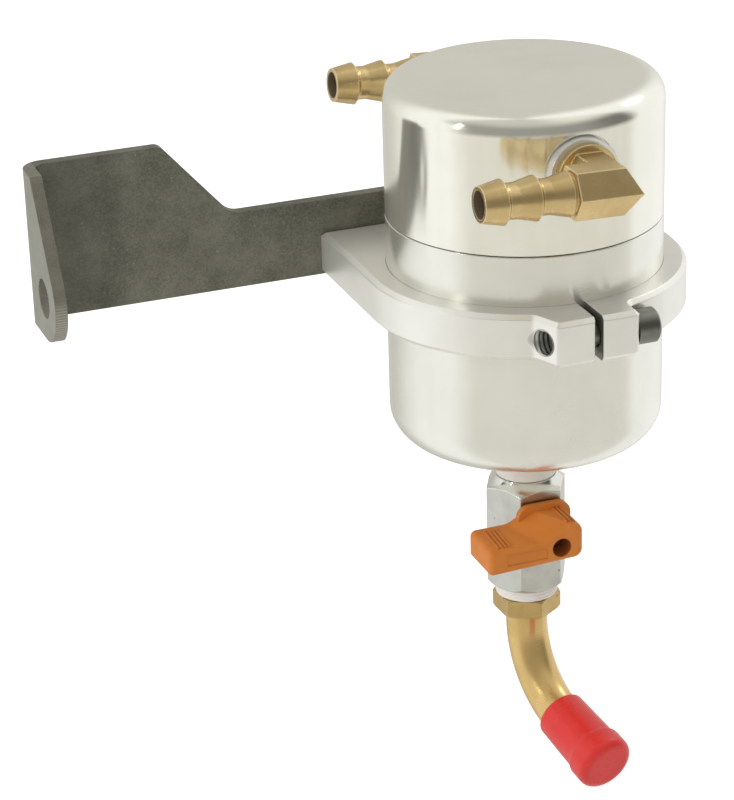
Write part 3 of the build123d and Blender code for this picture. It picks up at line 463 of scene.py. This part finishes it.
def hairs_in(tree, across, length, slant):
    """Hairline scratches at these scales."""
    scales = {"Across": across, "Along": length, "Slant": slant}
    return put(tree, "Group", scales, node_tree=scratches).outputs["Scratch"]


def edges_in(tree, radius):
    """Softened edges of this radius; returns Normal and Edge."""
    return put(tree, "Group", {"Radius": radius}, node_tree=soft_edges).outputs


print("effects ready to place")

# %% [markdown]
# ## Turned aluminium
# The lid and the body were turned from bar. The lid was polished afterwards, so it mirrors the
# elbow in front of it, and the body is a little duller. Fine rings smear reflections up and down
# but not sideways, which is why the tent's edges stand as sharp upright bands. The shader's
# anisotropy does just that when its tangent runs round the can's axis. Where lid and body meet, old
# oil draws a thin dark line.

# %% Turned aluminium
# A dark colour for the oil in the seam and for the painted shade in the clamp's hole and slit.
oil_and_shade = (0.10, 0.10, 0.09, 1)


def turned_aluminium(name, colour, dull, roughness, line_depth):
    """Bare aluminium with rings round the can's axis and a dark line at the seam."""
    finish, tree, shader = start_finish(
        name, Metallic=0.86, Anisotropic=0.75, Anisotropic_Rotation=0.25)
    rings = {"Axis X": axis_x, "Axis Y": axis_y, "Lines per Metre": 2600.0}
    lines = put(tree, "Group", rings, node_tree=lathe_lines).outputs["Lines"]
    uneven = uneven_in(tree, 45.0, 900.0, 0.1)
    hairs = hairs_in(tree, 1500.0, 30.0, 0.5)
    edges = edges_in(tree, 0.00025)
    shade = mix_colours(tree, uneven["Patch"], colour, dull)
    shade = tint(tree, shade, uneven["Specks"], 0.35, (0.45, 0.44, 0.41, 1))
    off_seam = figure(tree, "SUBTRACT", spot_of(tree)["Z"], seam_height)
    in_seam = ramp(tree, figure(tree, "ABSOLUTE", off_seam), 0.00008, 0.00022, 0.8, 0.0)
    shade = mix_colours(tree, in_seam, shade, oil_and_shade)
    tree.links.new(shade, shader.inputs["Base Color"])
    roughen(tree, shader, roughness - 0.03, (lines, 0.05), (uneven["Patch"], 0.03), (hairs, 0.10))
    emboss(tree, shader, lines, line_depth, Normal=edges["Normal"])
    around = put(tree, "Tangent", direction_type="RADIAL", axis="Z")
    tree.links.new(around.outputs[0], shader.inputs["Tangent"])
    return finish


polished_aluminium = turned_aluminium(
    "polished_aluminium", (0.92, 0.908, 0.81, 1), (0.88, 0.868, 0.77, 1), 0.15, 0.000001)
satin_aluminium = turned_aluminium(
    "satin_aluminium", (0.865, 0.857, 0.78, 1), (0.825, 0.817, 0.74, 1), 0.21, 0.0000015)
wear(["lid"], polished_aluminium)
wear(["can_body"], satin_aluminium)

# %% [markdown]
# ## Milled aluminium
# The clamp was milled from plate and tumbled, so its edges are broken and its faces are an even
# satin. It needs no anisotropy: a fine grain, a few hairlines and brighter edges are enough.

# %% Milled aluminium
def plain_metal(name, colour, dull, roughness, edge_radius, patch_scale=50.0,
                grain_depth=0.000004, edge_colour=None, metal=1.0):
    """A metal with patches, a fine grain, a few hairlines and worn edges."""
    finish, tree, shader = start_finish(name, Metallic=metal)
    uneven = uneven_in(tree, patch_scale, 1400.0, 0.3)
    hairs = hairs_in(tree, 1100.0, 22.0, 0.35)
    edges = edges_in(tree, edge_radius)
    shade = mix_colours(tree, uneven["Patch"], colour, dull)
    shade = tint(tree, shade, edges["Edge"], 0.6, edge_colour or colour)
    tree.links.new(shade, shader.inputs["Base Color"])
    roughen(tree, shader, roughness - 0.03, (uneven["Patch"], 0.07), (hairs, 0.12))
    emboss(tree, shader, uneven["Grain"], grain_depth, Normal=edges["Normal"])
    return finish


milled_aluminium = plain_metal(
    "milled_aluminium", (0.90, 0.89, 0.825, 1), (0.86, 0.85, 0.785, 1), 0.36, 0.0004, metal=0.68)
plain_aluminium = plain_metal(
    "plain_aluminium", (0.90, 0.90, 0.87, 1), (0.85, 0.85, 0.82, 1), 0.30, 0.0003, metal=0.7)
wear(["clamp"], milled_aluminium)
wear(["inlet_seal_ring", "outlet_seal_ring", "dip_tube", "baffle_plate"], plain_aluminium)

# %% [markdown]
# The clamp's tapped hole and its slit are painted much darker than the faces round them: painted
# shade in the recesses, with some old oil in the thread. The hole runs along the screw's axis, so
# the distance from that line tells the hole from the faces. Near its open end the painted shade is
# lighter. The slit lies in one upright plane, so there the distance from the plane does it. Both
# masks lay a second colour over the finish.

# %% Colours laid on by place
def from_line(tree, place, direction):
    """Distance of a surface point from a straight line; the direction has length one."""
    point = put(tree, "TexCoord").outputs["Object"]
    offset = put(tree, "VectorMath", {0: point, 1: place}, operation="SUBTRACT").outputs[0]
    crossed = put(tree, "VectorMath", {0: offset, 1: direction}, operation="CROSS_PRODUCT")
    return put(tree, "VectorMath", {0: crossed.outputs[0]}, operation="LENGTH").outputs["Value"]


def so_far(shader, socket):
    """What a shader's socket is fed by so far."""
    return shader.inputs[socket].links[0].from_socket


def lay_colour(finish, mask, colour):
    """Lay a colour over a finish where a mask in its tree says so; returns the shader."""
    tree = finish.node_tree
    shader = tree.nodes["Principled BSDF"]
    stained = mix_colours(tree, mask, so_far(shader, "Base Color"), colour)
    tree.links.new(stained, shader.inputs["Base Color"])
    return shader


print("stain helpers ready")

# %% Paint shade into the tapped hole and the slit
screw_low, screw_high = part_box("clamp_screw")
screw_middle = (screw_low + screw_high) / 2
hole_radius, hole_soft = 0.0037, 0.0002
open_end, deep_end = axis_x - 0.0152, axis_x - 0.0128
slit_middle, slit_half = axis_x - 0.0002, 0.0011
slit_mouth, slit_end = axis_y - 0.030, axis_y - 0.020

tree = milled_aluminium.node_tree
spot = spot_of(tree)
from_screw = from_line(tree, screw_middle, (1, 0, 0))
in_hole = ramp(tree, from_screw, hole_radius, hole_radius + hole_soft, 0.85, 0.0)
in_hole = times(tree, in_hole, ramp(tree, spot["X"], open_end, deep_end, 0.32, 1.0))
from_slit = figure(tree, "ABSOLUTE", figure(tree, "SUBTRACT", spot["X"], slit_middle))
in_slit = ramp(tree, from_slit, slit_half + 0.00003, slit_half + 0.0002, 0.8, 0.0)
in_slit = times(tree, in_slit, ramp(tree, spot["Y"], slit_mouth, slit_end, 1.0, 0.0))
# Painted shade in the hole and the slit, with some old oil in the thread; lighter near the hole's
# open end.
lay_colour(milled_aluminium, figure(tree, "MAXIMUM", in_hole, in_slit), oil_and_shade)
print("tapped hole along", tuple(round(value, 4) for value in screw_middle))

# %% [markdown]
# ## Brass
# The elbows, the drain hexagon and the tube are brass, machined and a little tarnished. Brass is
# yellow because it swallows blue light, so the colour sits in the metal's base colour and not in a
# paint over it. Tarnish is darker and browner, and it gathers in patches.

# %% Brass
brass_metal = 0.92
elbow_edge = 0.0006


def brass_finish(name, bright, tarnish, roughness, line_scale, metal=brass_metal, blot_share=0.0,
                 edge_radius=0.0004):
    """Brass with tarnish in patches, dark specks and blots, tool lines and brighter edges."""
    finish, tree, shader = start_finish(name, Metallic=metal)
    uneven = uneven_in(tree, 90.0, 1700.0, 0.3)
    blots = uneven_in(tree, 200.0, 420.0, blot_share)
    hairs = hairs_in(tree, 1300.0, 30.0, 0.2)
    edges = edges_in(tree, edge_radius)
    shade = tint(tree, bright, uneven["Patch"], 0.7, tarnish)
    shade = tint(tree, shade, uneven["Specks"], 0.25, (0.25, 0.14, 0.05, 1))
    shade = tint(tree, shade, blots["Specks"], 0.6, (0.20, 0.10, 0.04, 1))
    shade = tint(tree, shade, edges["Edge"], 0.5, bright)
    tree.links.new(shade, shader.inputs["Base Color"])
    roughen(tree, shader, roughness - 0.04, (uneven["Patch"], 0.08), (hairs, 0.15))
    point = put(tree, "TexCoord").outputs["Object"]
    scaled = put(tree, "VectorMath", {0: point, 1: line_scale}, operation="MULTIPLY").outputs[0]
    tool_lines = put(tree, "TexNoise", {"Vector": scaled, "Scale": 1.0, "Detail": 2.0})
    emboss(tree, shader, tool_lines.outputs["Fac"], 0.000006, Normal=edges["Normal"])
    return finish


machined_brass = brass_finish(
    "machined_brass", (0.78, 0.595, 0.295, 1), (0.61, 0.43, 0.19, 1), 0.27,
    (3000.0, 40.0, 40.0), edge_radius=elbow_edge)
drawn_brass = brass_finish(
    "drawn_brass", (0.75, 0.535, 0.215, 1), (0.62, 0.42, 0.15, 1), 0.29,
    (900.0, 60.0, 60.0), metal=0.62)
cast_brass = brass_finish(
    "cast_brass", (0.66, 0.475, 0.205, 1), (0.46, 0.30, 0.11, 1), 0.36,
    (700.0, 700.0, 700.0), blot_share=0.45)
wear(["inlet_elbow", "outlet_elbow", "valve_stem", "valve_retainer"], machined_brass)
wear(["drain_tube"], drawn_brass)
wear(["drain_fitting"], cast_brass)

# %% [markdown]
# The elbows' broken edges are rubbed pale and carry a painted highlight, and they scatter light
# more than they mirror it. So the edge mask lightens the colour there and also takes away most of
# the metal.

# %% Rub the elbows' edges and paint highlights on them
tree = machined_brass.node_tree
rubbed_highlight = times(tree, edges_in(tree, elbow_edge)["Edge"], 0.9)
# Painted highlight along the edges, partly real wear.
shader = lay_colour(machined_brass, rubbed_highlight, (0.95, 0.80, 0.48, 1))
highlight_metal = figure(tree, "MULTIPLY_ADD", rubbed_highlight, -0.6, brass_metal)
tree.links.new(highlight_metal, shader.inputs["Metallic"])
print("edges rubbed on", machined_brass.name)

# %% [markdown]
# The barbs' bores are drilled and left rough, with a brown film inside, so they are dull and not
# mirrors. Their axes are mounts of the record, which saves typing them in again. The axis also
# leaves the elbow through its mitred corner, so the film ends before that.

# %% Dull the drilled bores
bore_radius, bore_soft = 0.00375, 0.0001
film_fades, film_ends = axis_x - 0.0065, axis_x - 0.0055
mounts = {mount["name"]: mount for mount in frame["record"]["mounts"]}
from_bores = [from_line(tree, mounts[name]["pos_m"], mounts[name]["axis"])
              for name in ("inlet_bore", "outlet_bore")]
from_bore = figure(tree, "MINIMUM", *from_bores)
in_bore = ramp(tree, from_bore, bore_radius, bore_radius + bore_soft, 1.0, 0.0)
before_corner = ramp(tree, spot_of(tree)["X"], film_fades, film_ends, 1.0, 0.0)
in_bore = times(tree, in_bore, before_corner)
lay_colour(machined_brass, in_bore, (0.20, 0.15, 0.095, 1))
dull_metal = figure(tree, "MULTIPLY_ADD", in_bore, -0.85, so_far(shader, "Metallic"))
tree.links.new(figure(tree, "MAXIMUM", dull_metal, 0.0), shader.inputs["Metallic"])
print("bores dulled on", machined_brass.name)

# %% [markdown]
# A short red smear runs down the drain tube under its hexagon. It follows the tube's straight upper
# end, so it is a band about an upright line on the tube's front, faded out at its lower end.

# %% Smear on the drain tube
tube_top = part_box("drain_fitting")[0].z
tube_radius, tube_front = 0.0060, Vector((-0.136, -0.991, 0))
smear_place = Vector((axis_x, axis_y, tube_top)) + tube_radius * tube_front
tree = drawn_brass.node_tree
smear = ramp(tree, from_line(tree, smear_place, (0, 0, 1)), 0.0004, 0.0013, 0.6, 0.0)
lower_end = ramp(tree, spot_of(tree)["Z"], tube_top - 0.0085, tube_top - 0.0050)
lay_colour(drawn_brass, times(tree, smear, lower_end), (0.60, 0.15, 0.05, 1))
print("smear at", tuple(round(value, 4) for value in smear_place))

# %% [markdown]
# ## Steel
# The bracket is raw hot-rolled sheet: a dull olive grey with broad cloudy patches and a fine mottle
# from the mill scale. It is half metal and half oxide, so it is only partly metallic.

# %% Rolled sheet
rolled_steel, tree, shader = start_finish("rolled_steel")
clouds = uneven_in(tree, 60.0, 2600.0, 0.6)
mottle = uneven_in(tree, 300.0, 1700.0, 0.3)
edges = edges_in(tree, 0.0005)
grain = ramp(tree, mottle["Grain"], 0.36, 0.64)
shade = mix_colours(tree, clouds["Patch"], (0.128, 0.128, 0.098, 1), (0.238, 0.236, 0.190, 1))
shade = tint(tree, shade, mottle["Patch"], 0.42, (0.120, 0.118, 0.090, 1))
shade = tint(tree, shade, grain, 0.24, (0.33, 0.325, 0.27, 1))
shade = tint(tree, shade, clouds["Specks"], 0.45, (0.07, 0.066, 0.05, 1))
shade = tint(tree, shade, mottle["Specks"], 0.5, (0.50, 0.49, 0.43, 1))
roughen(tree, shader, 0.52, (clouds["Patch"], -0.08))
oxide = figure(tree, "MULTIPLY_ADD", mottle["Patch"], -0.3, 0.75)
tree.links.new(oxide, shader.inputs["Metallic"])
print("sheet colours ready")

# %% [markdown]
# The flange's outer face is painted paler than the rest, a painted highlight for the light from the
# left, and painted shade darkens the sheet in the fold. It was sheared, which leaves a paler rim,
# and
# the round end of the flange was nibbled: its rim carries short ticks. They are drawn by the angle
# about the bolt hole, where this part's frame has its origin. A rim is told from a face by its
# normal, which lies in the sheet's plane.

# %% Flange face and sheared rim
def opposite(tree, mask):
    """The rest of a surface that a mask leaves out."""
    return figure(tree, "SUBTRACT", 1.0, mask)


sheet_thickness, ear_top, ear_bottom = 0.0034, 0.004, -0.001
spot = spot_of(tree)
normal_x = put(tree, "SeparateXYZ", {0: put(tree, "NewGeometry").outputs["Normal"]}).outputs["X"]
on_flange = ramp(tree, spot["X"], sheet_thickness, sheet_thickness + 0.0002, 1.0, 0.0)
outer_face = times(tree, on_flange, ramp(tree, normal_x, -0.5, -0.9))
rim = times(tree, ramp(tree, figure(tree, "ABSOLUTE", normal_x), 0.3, 0.6, 1.0, 0.0), on_flange)
at_ear = ramp(tree, spot["Z"], ear_top, ear_bottom)
sheared = times(tree, rim, opposite(tree, at_ear))
near_fold = times(tree, ramp(tree, spot["X"], 0.010, 0.034, 0.4, 0.0), opposite(tree, on_flange))
# Painted light: the flange's outer face, which faces the light at the left, is laid paler.
shade = tint(tree, shade, outer_face, 0.75, (0.37, 0.37, 0.315, 1))
shade = tint(tree, shade, sheared, 0.5, (0.30, 0.283, 0.225, 1))
# Painted shade in the fold.
shade = mix_colours(tree, near_fold, shade, (0.09, 0.09, 0.068, 1))
print("flange face ready")

# %% Nibbled end
tick_count, tick_depth = 92.0, -2.5
ear_turn = figure(tree, "ARCTAN2", spot["Z"], spot["Y"])
waves = figure(tree, "SINE", times(tree, ear_turn, tick_count))
ticks = figure(tree, "MULTIPLY_ADD", waves, 0.5, 0.5)
nibbled = times(tree, rim, at_ear)
ear_shade = tint(tree, (0.50, 0.485, 0.42, 1), ticks, 0.8, (0.24, 0.23, 0.185, 1))
shade = tint(tree, shade, nibbled, 0.8, ear_shade)
shade = tint(tree, shade, edges["Edge"], 0.25, (0.34, 0.33, 0.28, 1))
tree.links.new(shade, shader.inputs["Base Color"])
relief = figure(tree, "MULTIPLY_ADD", times(tree, ticks, nibbled), tick_depth, mottle["Grain"])
emboss(tree, shader, relief, 0.00004, Normal=edges["Normal"])
wear(["bracket"], rolled_steel)

# %% [markdown]
# The screws are blackened, the washers and the small lever screw are plated, and the ring inside
# the can is bare spring steel. They are small, so the clamp's plain metal does for all of them,
# with their own colours and edges.

# %% Screws and small steel
black_steel = plain_metal(
    "black_steel", (0.235, 0.235, 0.205, 1), (0.17, 0.17, 0.148, 1), 0.36, 0.0003,
    patch_scale=160.0, grain_depth=0.00001, edge_colour=(0.24, 0.24, 0.22, 1))
plated_steel = plain_metal(
    "plated_steel", (0.74, 0.74, 0.72, 1), (0.66, 0.66, 0.63, 1), 0.30, 0.0002)
spring_steel = plain_metal(
    "spring_steel", (0.38, 0.38, 0.39, 1), (0.30, 0.30, 0.31, 1), 0.32, 0.0002)
wear(["clamp_screw", "bracket_screws"], black_steel)
wear(["bracket_washers", "handle_screw"], plated_steel)
wear(["retaining_ring"], spring_steel)

# %% [markdown]
# ## Plated valve
# The valve's body is nickel plated over a forging that was only half cleaned up, so its flats are
# satin, with small dark pits and dents that the plating follows.

# %% Plated forging
plated_forging, tree, shader = start_finish("plated_forging", Metallic=1.0)
uneven = uneven_in(tree, 160.0, 620.0, 0.28)
edges = edges_in(tree, 0.0005)
shade = mix_colours(tree, uneven["Patch"], (0.60, 0.60, 0.545, 1), (0.53, 0.53, 0.48, 1))
shade = tint(tree, shade, uneven["Specks"], 0.7, (0.16, 0.16, 0.15, 1))
tree.links.new(shade, shader.inputs["Base Color"])
roughen(tree, shader, 0.26, (uneven["Patch"], 0.10))
dents = figure(tree, "MULTIPLY_ADD", uneven["Specks"], -1.0, uneven["Patch"])
dented = emboss(tree, shader, dents, 0.000012, Normal=edges["Normal"])
wear(["valve_body", "valve_ball"], plated_forging)

# %% [markdown]
# The valve's upper end was turned to a hollow cone after forging, so there the plating is bright
# and has no dents. The cone is a curve of height against radius. Points on that curve are the cone,
# and points well below it are the flats, so one comparison tells them apart.

# %% Brighten the turned cone
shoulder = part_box("upper_tape")[0].z
cone_start, cone_width, cone_drop, cone_hollow = 0.0088, 0.00382, 0.0034, 0.00067
bright_plating, bright_roughness = (0.74, 0.74, 0.68, 1), (0.13, 0.13, 0.13, 1)
radius = from_line(tree, (axis_x, axis_y, 0), (0, 0, 1))
out_share = figure(tree, "DIVIDE", figure(tree, "SUBTRACT", radius, cone_start), cone_width)
bowed = times(tree, out_share, opposite(tree, out_share))
straight_drop = times(tree, out_share, cone_drop)
drop = figure(tree, "MULTIPLY_ADD", bowed, 4 * cone_hollow, straight_drop)
below_shoulder = figure(tree, "SUBTRACT", spot_of(tree)["Z"], shoulder)
on_cone = ramp(tree, figure(tree, "ADD", below_shoulder, drop), -0.00035, -0.0001)
lay_colour(plated_forging, on_cone, bright_plating)
forged_roughness = so_far(shader, "Roughness")
turned_roughness = mix_colours(tree, on_cone, forged_roughness, bright_roughness)
tree.links.new(turned_roughness, shader.inputs["Roughness"])
tree.links.new(times(tree, dents, opposite(tree, on_cone)), dented.inputs["Height"])
print("cone below height", round(shoulder, 4))

# %% [markdown]
# ## Plastics and rubber
# The lever is moulded in an orange that has dulled, with a fine mould grain. The cap is soft dipped
# vinyl, glossier, with a skin that is never quite even. The seats, the packing and the thread tape
# are white, and the lid's seal is black rubber.

# %% Moulded plastics
def moulded(name, colour, shaded, roughness, grain_scale, grain_depth, edge_radius,
            **plain_values):
    """A moulded or dipped finish with a faint change of colour and a fine grain."""
    finish, tree, shader = start_finish(name, **plain_values)
    uneven = uneven_in(tree, 110.0, grain_scale, 0.1)
    edges = edges_in(tree, edge_radius)
    shade = mix_colours(tree, uneven["Patch"], colour, shaded)
    tree.links.new(shade, shader.inputs["Base Color"])
    roughen(tree, shader, roughness - 0.04, (uneven["Patch"], 0.08))
    emboss(tree, shader, uneven["Grain"], grain_depth, Normal=edges["Normal"])
    return finish


orange_plastic = moulded(
    "orange_plastic", (0.69, 0.222, 0.034, 1), (0.63, 0.195, 0.028, 1), 0.45,
    grain_scale=2200.0, grain_depth=0.00001, edge_radius=0.0004, Specular_IOR_Level=0.3)
red_vinyl = moulded(
    "red_vinyl", (0.74, 0.036, 0.030, 1), (0.70, 0.030, 0.026, 1), 0.30,
    grain_scale=300.0, grain_depth=0.000004, edge_radius=0.0010, Specular_IOR_Level=0.4)
white_polymer = moulded(
    "white_polymer", (0.86, 0.825, 0.765, 1), (0.79, 0.745, 0.68, 1), 0.5,
    grain_scale=900.0, grain_depth=0.00002, edge_radius=0.0002)
black_rubber = moulded(
    "black_rubber", (0.022, 0.022, 0.021, 1), (0.03, 0.03, 0.028, 1), 0.55,
    grain_scale=1500.0, grain_depth=0.00001, edge_radius=0.0002)
wear(["valve_handle"], orange_plastic)
wear(["drain_cap"], red_vinyl)
wear(["upper_seat", "lower_seat", "stem_packing", "upper_tape", "lower_tape"], white_polymer)
wear(["lid_o_ring"], black_rubber)

# %% [markdown]
# The lever's screw hole is deep, so painted shade makes it darker than the lever. The screw and the
# stem lie on the hole's axis, so the line through their middles is that axis.

# %% Paint shade into the lever's hole
stem_low, stem_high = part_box("valve_stem")
lever_screw_low, lever_screw_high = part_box("handle_screw")
hole_place = (lever_screw_low + lever_screw_high) / 2
hole_axis = ((stem_low + stem_high) / 2 - hole_place).normalized()
lever_hole_radius, lever_hole_soft = 0.00277, 0.0001
tree = orange_plastic.node_tree
painted_hole_shade = ramp(tree, from_line(tree, hole_place, hole_axis), lever_hole_radius,
            lever_hole_radius + lever_hole_soft, 0.55, 0.0)
# Painted shade inside the deep hole.
lay_colour(orange_plastic, painted_hole_shade, (0.16, 0.03, 0.012, 1))
print("lever's hole along", tuple(round(value, 3) for value in hole_axis))

# %% [markdown]
# ## Filter pad
# Inside the can a ring of knitted wire catches the oil mist. Thousands of loops could be modelled,
# but nobody looks that close inside. The edges between the cells of a Voronoi pattern look like a
# tangle of wire, so they carry the bright colour and the relief, and the cells are painted dark as
# the shade in the gaps between the wires.

# %% Filter pad
loops_per_metre, wire_middle, wire_side = 520.0, 0.05, 0.16
filter_pad, tree, shader = start_finish("filter_pad", Metallic=0.6)
point = put(tree, "TexCoord").outputs["Object"]
loops = put(tree, "TexVoronoi", {"Vector": point, "Scale": loops_per_metre},
            feature="DISTANCE_TO_EDGE").outputs["Distance"]
wire = ramp(tree, loops, wire_middle, wire_side, 1.0, 0.0)
# The dark cells are painted shade in the gaps between the wires.
shade = mix_colours(tree, wire, (0.05, 0.05, 0.048, 1), (0.5, 0.5, 0.47, 1))
tree.links.new(shade, shader.inputs["Base Color"])
roughen(tree, shader, 0.85, (wire, -0.4))
emboss(tree, shader, wire, 0.0004)
wear(["filter_mesh"], filter_pad)

# %% [markdown]
# ## Thread tape
# White tape is wound over the valve's threads before they are screwed in, and some of it stays in
# view as soft uneven turns. A plain sleeve could carry painted lines, but the turns also show in
# the outline. So a circle is extruded upwards ring by ring, each ring a little wider or narrower,
# and back down inside. Its doubles are merged, and a small random shift makes it look wound by
# hand.

# %% Shape of the turns
tape_wall, tape_sides, rings_per_turn = 0.0003, 72, 6
merge_gap, hand_shift = 0.00001, 0.00007


def tape_rings(low, high, turns, swell):
    """Radius and height of each ring: up the soft turns outside, and back down inside."""
    outer = (high.x - low.x) / 2
    inner = outer - tape_wall
    steps = rings_per_turn * turns
    rings = []
    for step in range(steps + 1):
        bulge = swell * math.sqrt(abs(math.sin(math.pi * step / rings_per_turn)))
        rings.append((outer + bulge, low.z + (high.z - low.z) * step / steps))
    return inner, rings + [(inner, high.z), (inner, low.z)]


print("turns ready")

# %% Wind the tape
def wind_tape(name, node, turns, swell, seed):
    """A closed ring of soft turns in the place of a plain sleeve."""
    low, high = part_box(node)
    middle = (low + high) / 2
    radius, rings = tape_rings(low, high, turns, swell)
    height = low.z
    bpy.ops.object.select_all(action="DESELECT")
    bpy.ops.mesh.primitive_circle_add(
        vertices=tape_sides, radius=radius, location=(middle.x, middle.y, height))
    winding = bpy.context.object
    winding.name = name
    bpy.ops.object.transform_apply(location=True, rotation=True, scale=True)
    bpy.ops.object.mode_set(mode="EDIT")
    bpy.ops.mesh.select_all(action="SELECT")
    for ring_radius, ring_height in rings:
        step_up = (0, 0, ring_height - height)
        bpy.ops.mesh.extrude_region_move(TRANSFORM_OT_translate={"value": step_up})
        wider = ring_radius / radius
        bpy.ops.transform.resize(
            value=(wider, wider, 1), center_override=(middle.x, middle.y, ring_height))
        radius, height = ring_radius, ring_height
    bpy.ops.mesh.select_all(action="SELECT")
    bpy.ops.mesh.remove_doubles(threshold=merge_gap)
    bpy.ops.mesh.normals_make_consistent(inside=False)
    bpy.ops.transform.vertex_random(offset=hand_shift, uniform=1.0, normal=0.0, seed=seed)
    bpy.ops.object.mode_set(mode="OBJECT")
    smoothing = winding.modifiers.new("smoothing", "SUBSURF")
    smoothing.levels = smoothing.render_levels = 1
    bpy.ops.object.modifier_apply(modifier=smoothing.name)
    bpy.ops.object.shade_smooth()
    winding.data.materials.append(white_polymer)
    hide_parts(node)
    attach(winding, "can")
    print(name, "has", len(winding.data.polygons), "faces")


wind_tape("upper_winding", "upper_tape", turns=6, swell=0.00022, seed=3)
wind_tape("lower_winding", "lower_tape", turns=3, swell=0.00045, seed=5)

# %% [markdown]
# ## The can's thread
# The lid screws onto a short spigot on the can. The thread shows only when the lid is off, and it
# is very shallow, so the solids leave it plain. A Screw modifier does what a lathe does: it carries
# a small profile round the axis while it climbs by one pitch a turn. The pitch is the distance that
# the lid rises in one turn. The open ends are filled afterwards.

# %% Draw the thread's profile
spigot_radius = can_radius - 0.0037
thread_start = seam_height + 0.0048
profile_middle = (spigot_radius, 0, thread_start)
profile_size, profile_shape, crest_shape = 0.001, (0.24, 1, 1.4), (1, 1, 0.3)
bpy.ops.object.select_all(action="DESELECT")
bpy.ops.mesh.primitive_plane_add(
    size=profile_size, location=profile_middle, rotation=(math.pi / 2, 0, 0))
thread = bpy.context.object
thread.name = "can_thread"
bpy.ops.object.transform_apply(location=True, rotation=True, scale=True)
bpy.ops.object.mode_set(mode="EDIT")
bpy.ops.mesh.select_all(action="SELECT")
bpy.ops.transform.resize(value=profile_shape, center_override=profile_middle)
bpy.ops.mesh.delete(type="ONLY_FACE")
bpy.ops.mesh.select_all(action="DESELECT")
bpy.ops.object.mode_set(mode="OBJECT")
for corner in thread.data.vertices:
    corner.select = corner.co.x > spigot_radius
bpy.ops.object.mode_set(mode="EDIT")
bpy.ops.transform.resize(value=crest_shape, center_override=profile_middle)
bpy.ops.object.mode_set(mode="OBJECT")
print("thread profile has", len(thread.data.vertices), "corners")

# %% Carry it round
thread_pitch, thread_turns, steps_per_turn = 0.0020, 2, 96
climb = thread.modifiers.new("climb", "SCREW")
climb.axis = "Z"
climb.screw_offset = thread_pitch
climb.iterations = thread_turns
climb.steps = climb.render_steps = steps_per_turn
climb.use_merge_vertices = False
bpy.ops.object.modifier_apply(modifier=climb.name)
bpy.ops.object.mode_set(mode="EDIT")
bpy.ops.mesh.select_all(action="SELECT")
bpy.ops.mesh.fill_holes(sides=8)
bpy.ops.mesh.normals_make_consistent(inside=False)
bpy.ops.transform.translate(value=(axis_x, axis_y, 0))
bpy.ops.object.mode_set(mode="OBJECT")
bpy.ops.object.shade_smooth_by_angle(angle=math.radians(30))
thread.data.materials.append(satin_aluminium)
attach(thread, "can")
print("thread has", len(thread.data.polygons), "faces")
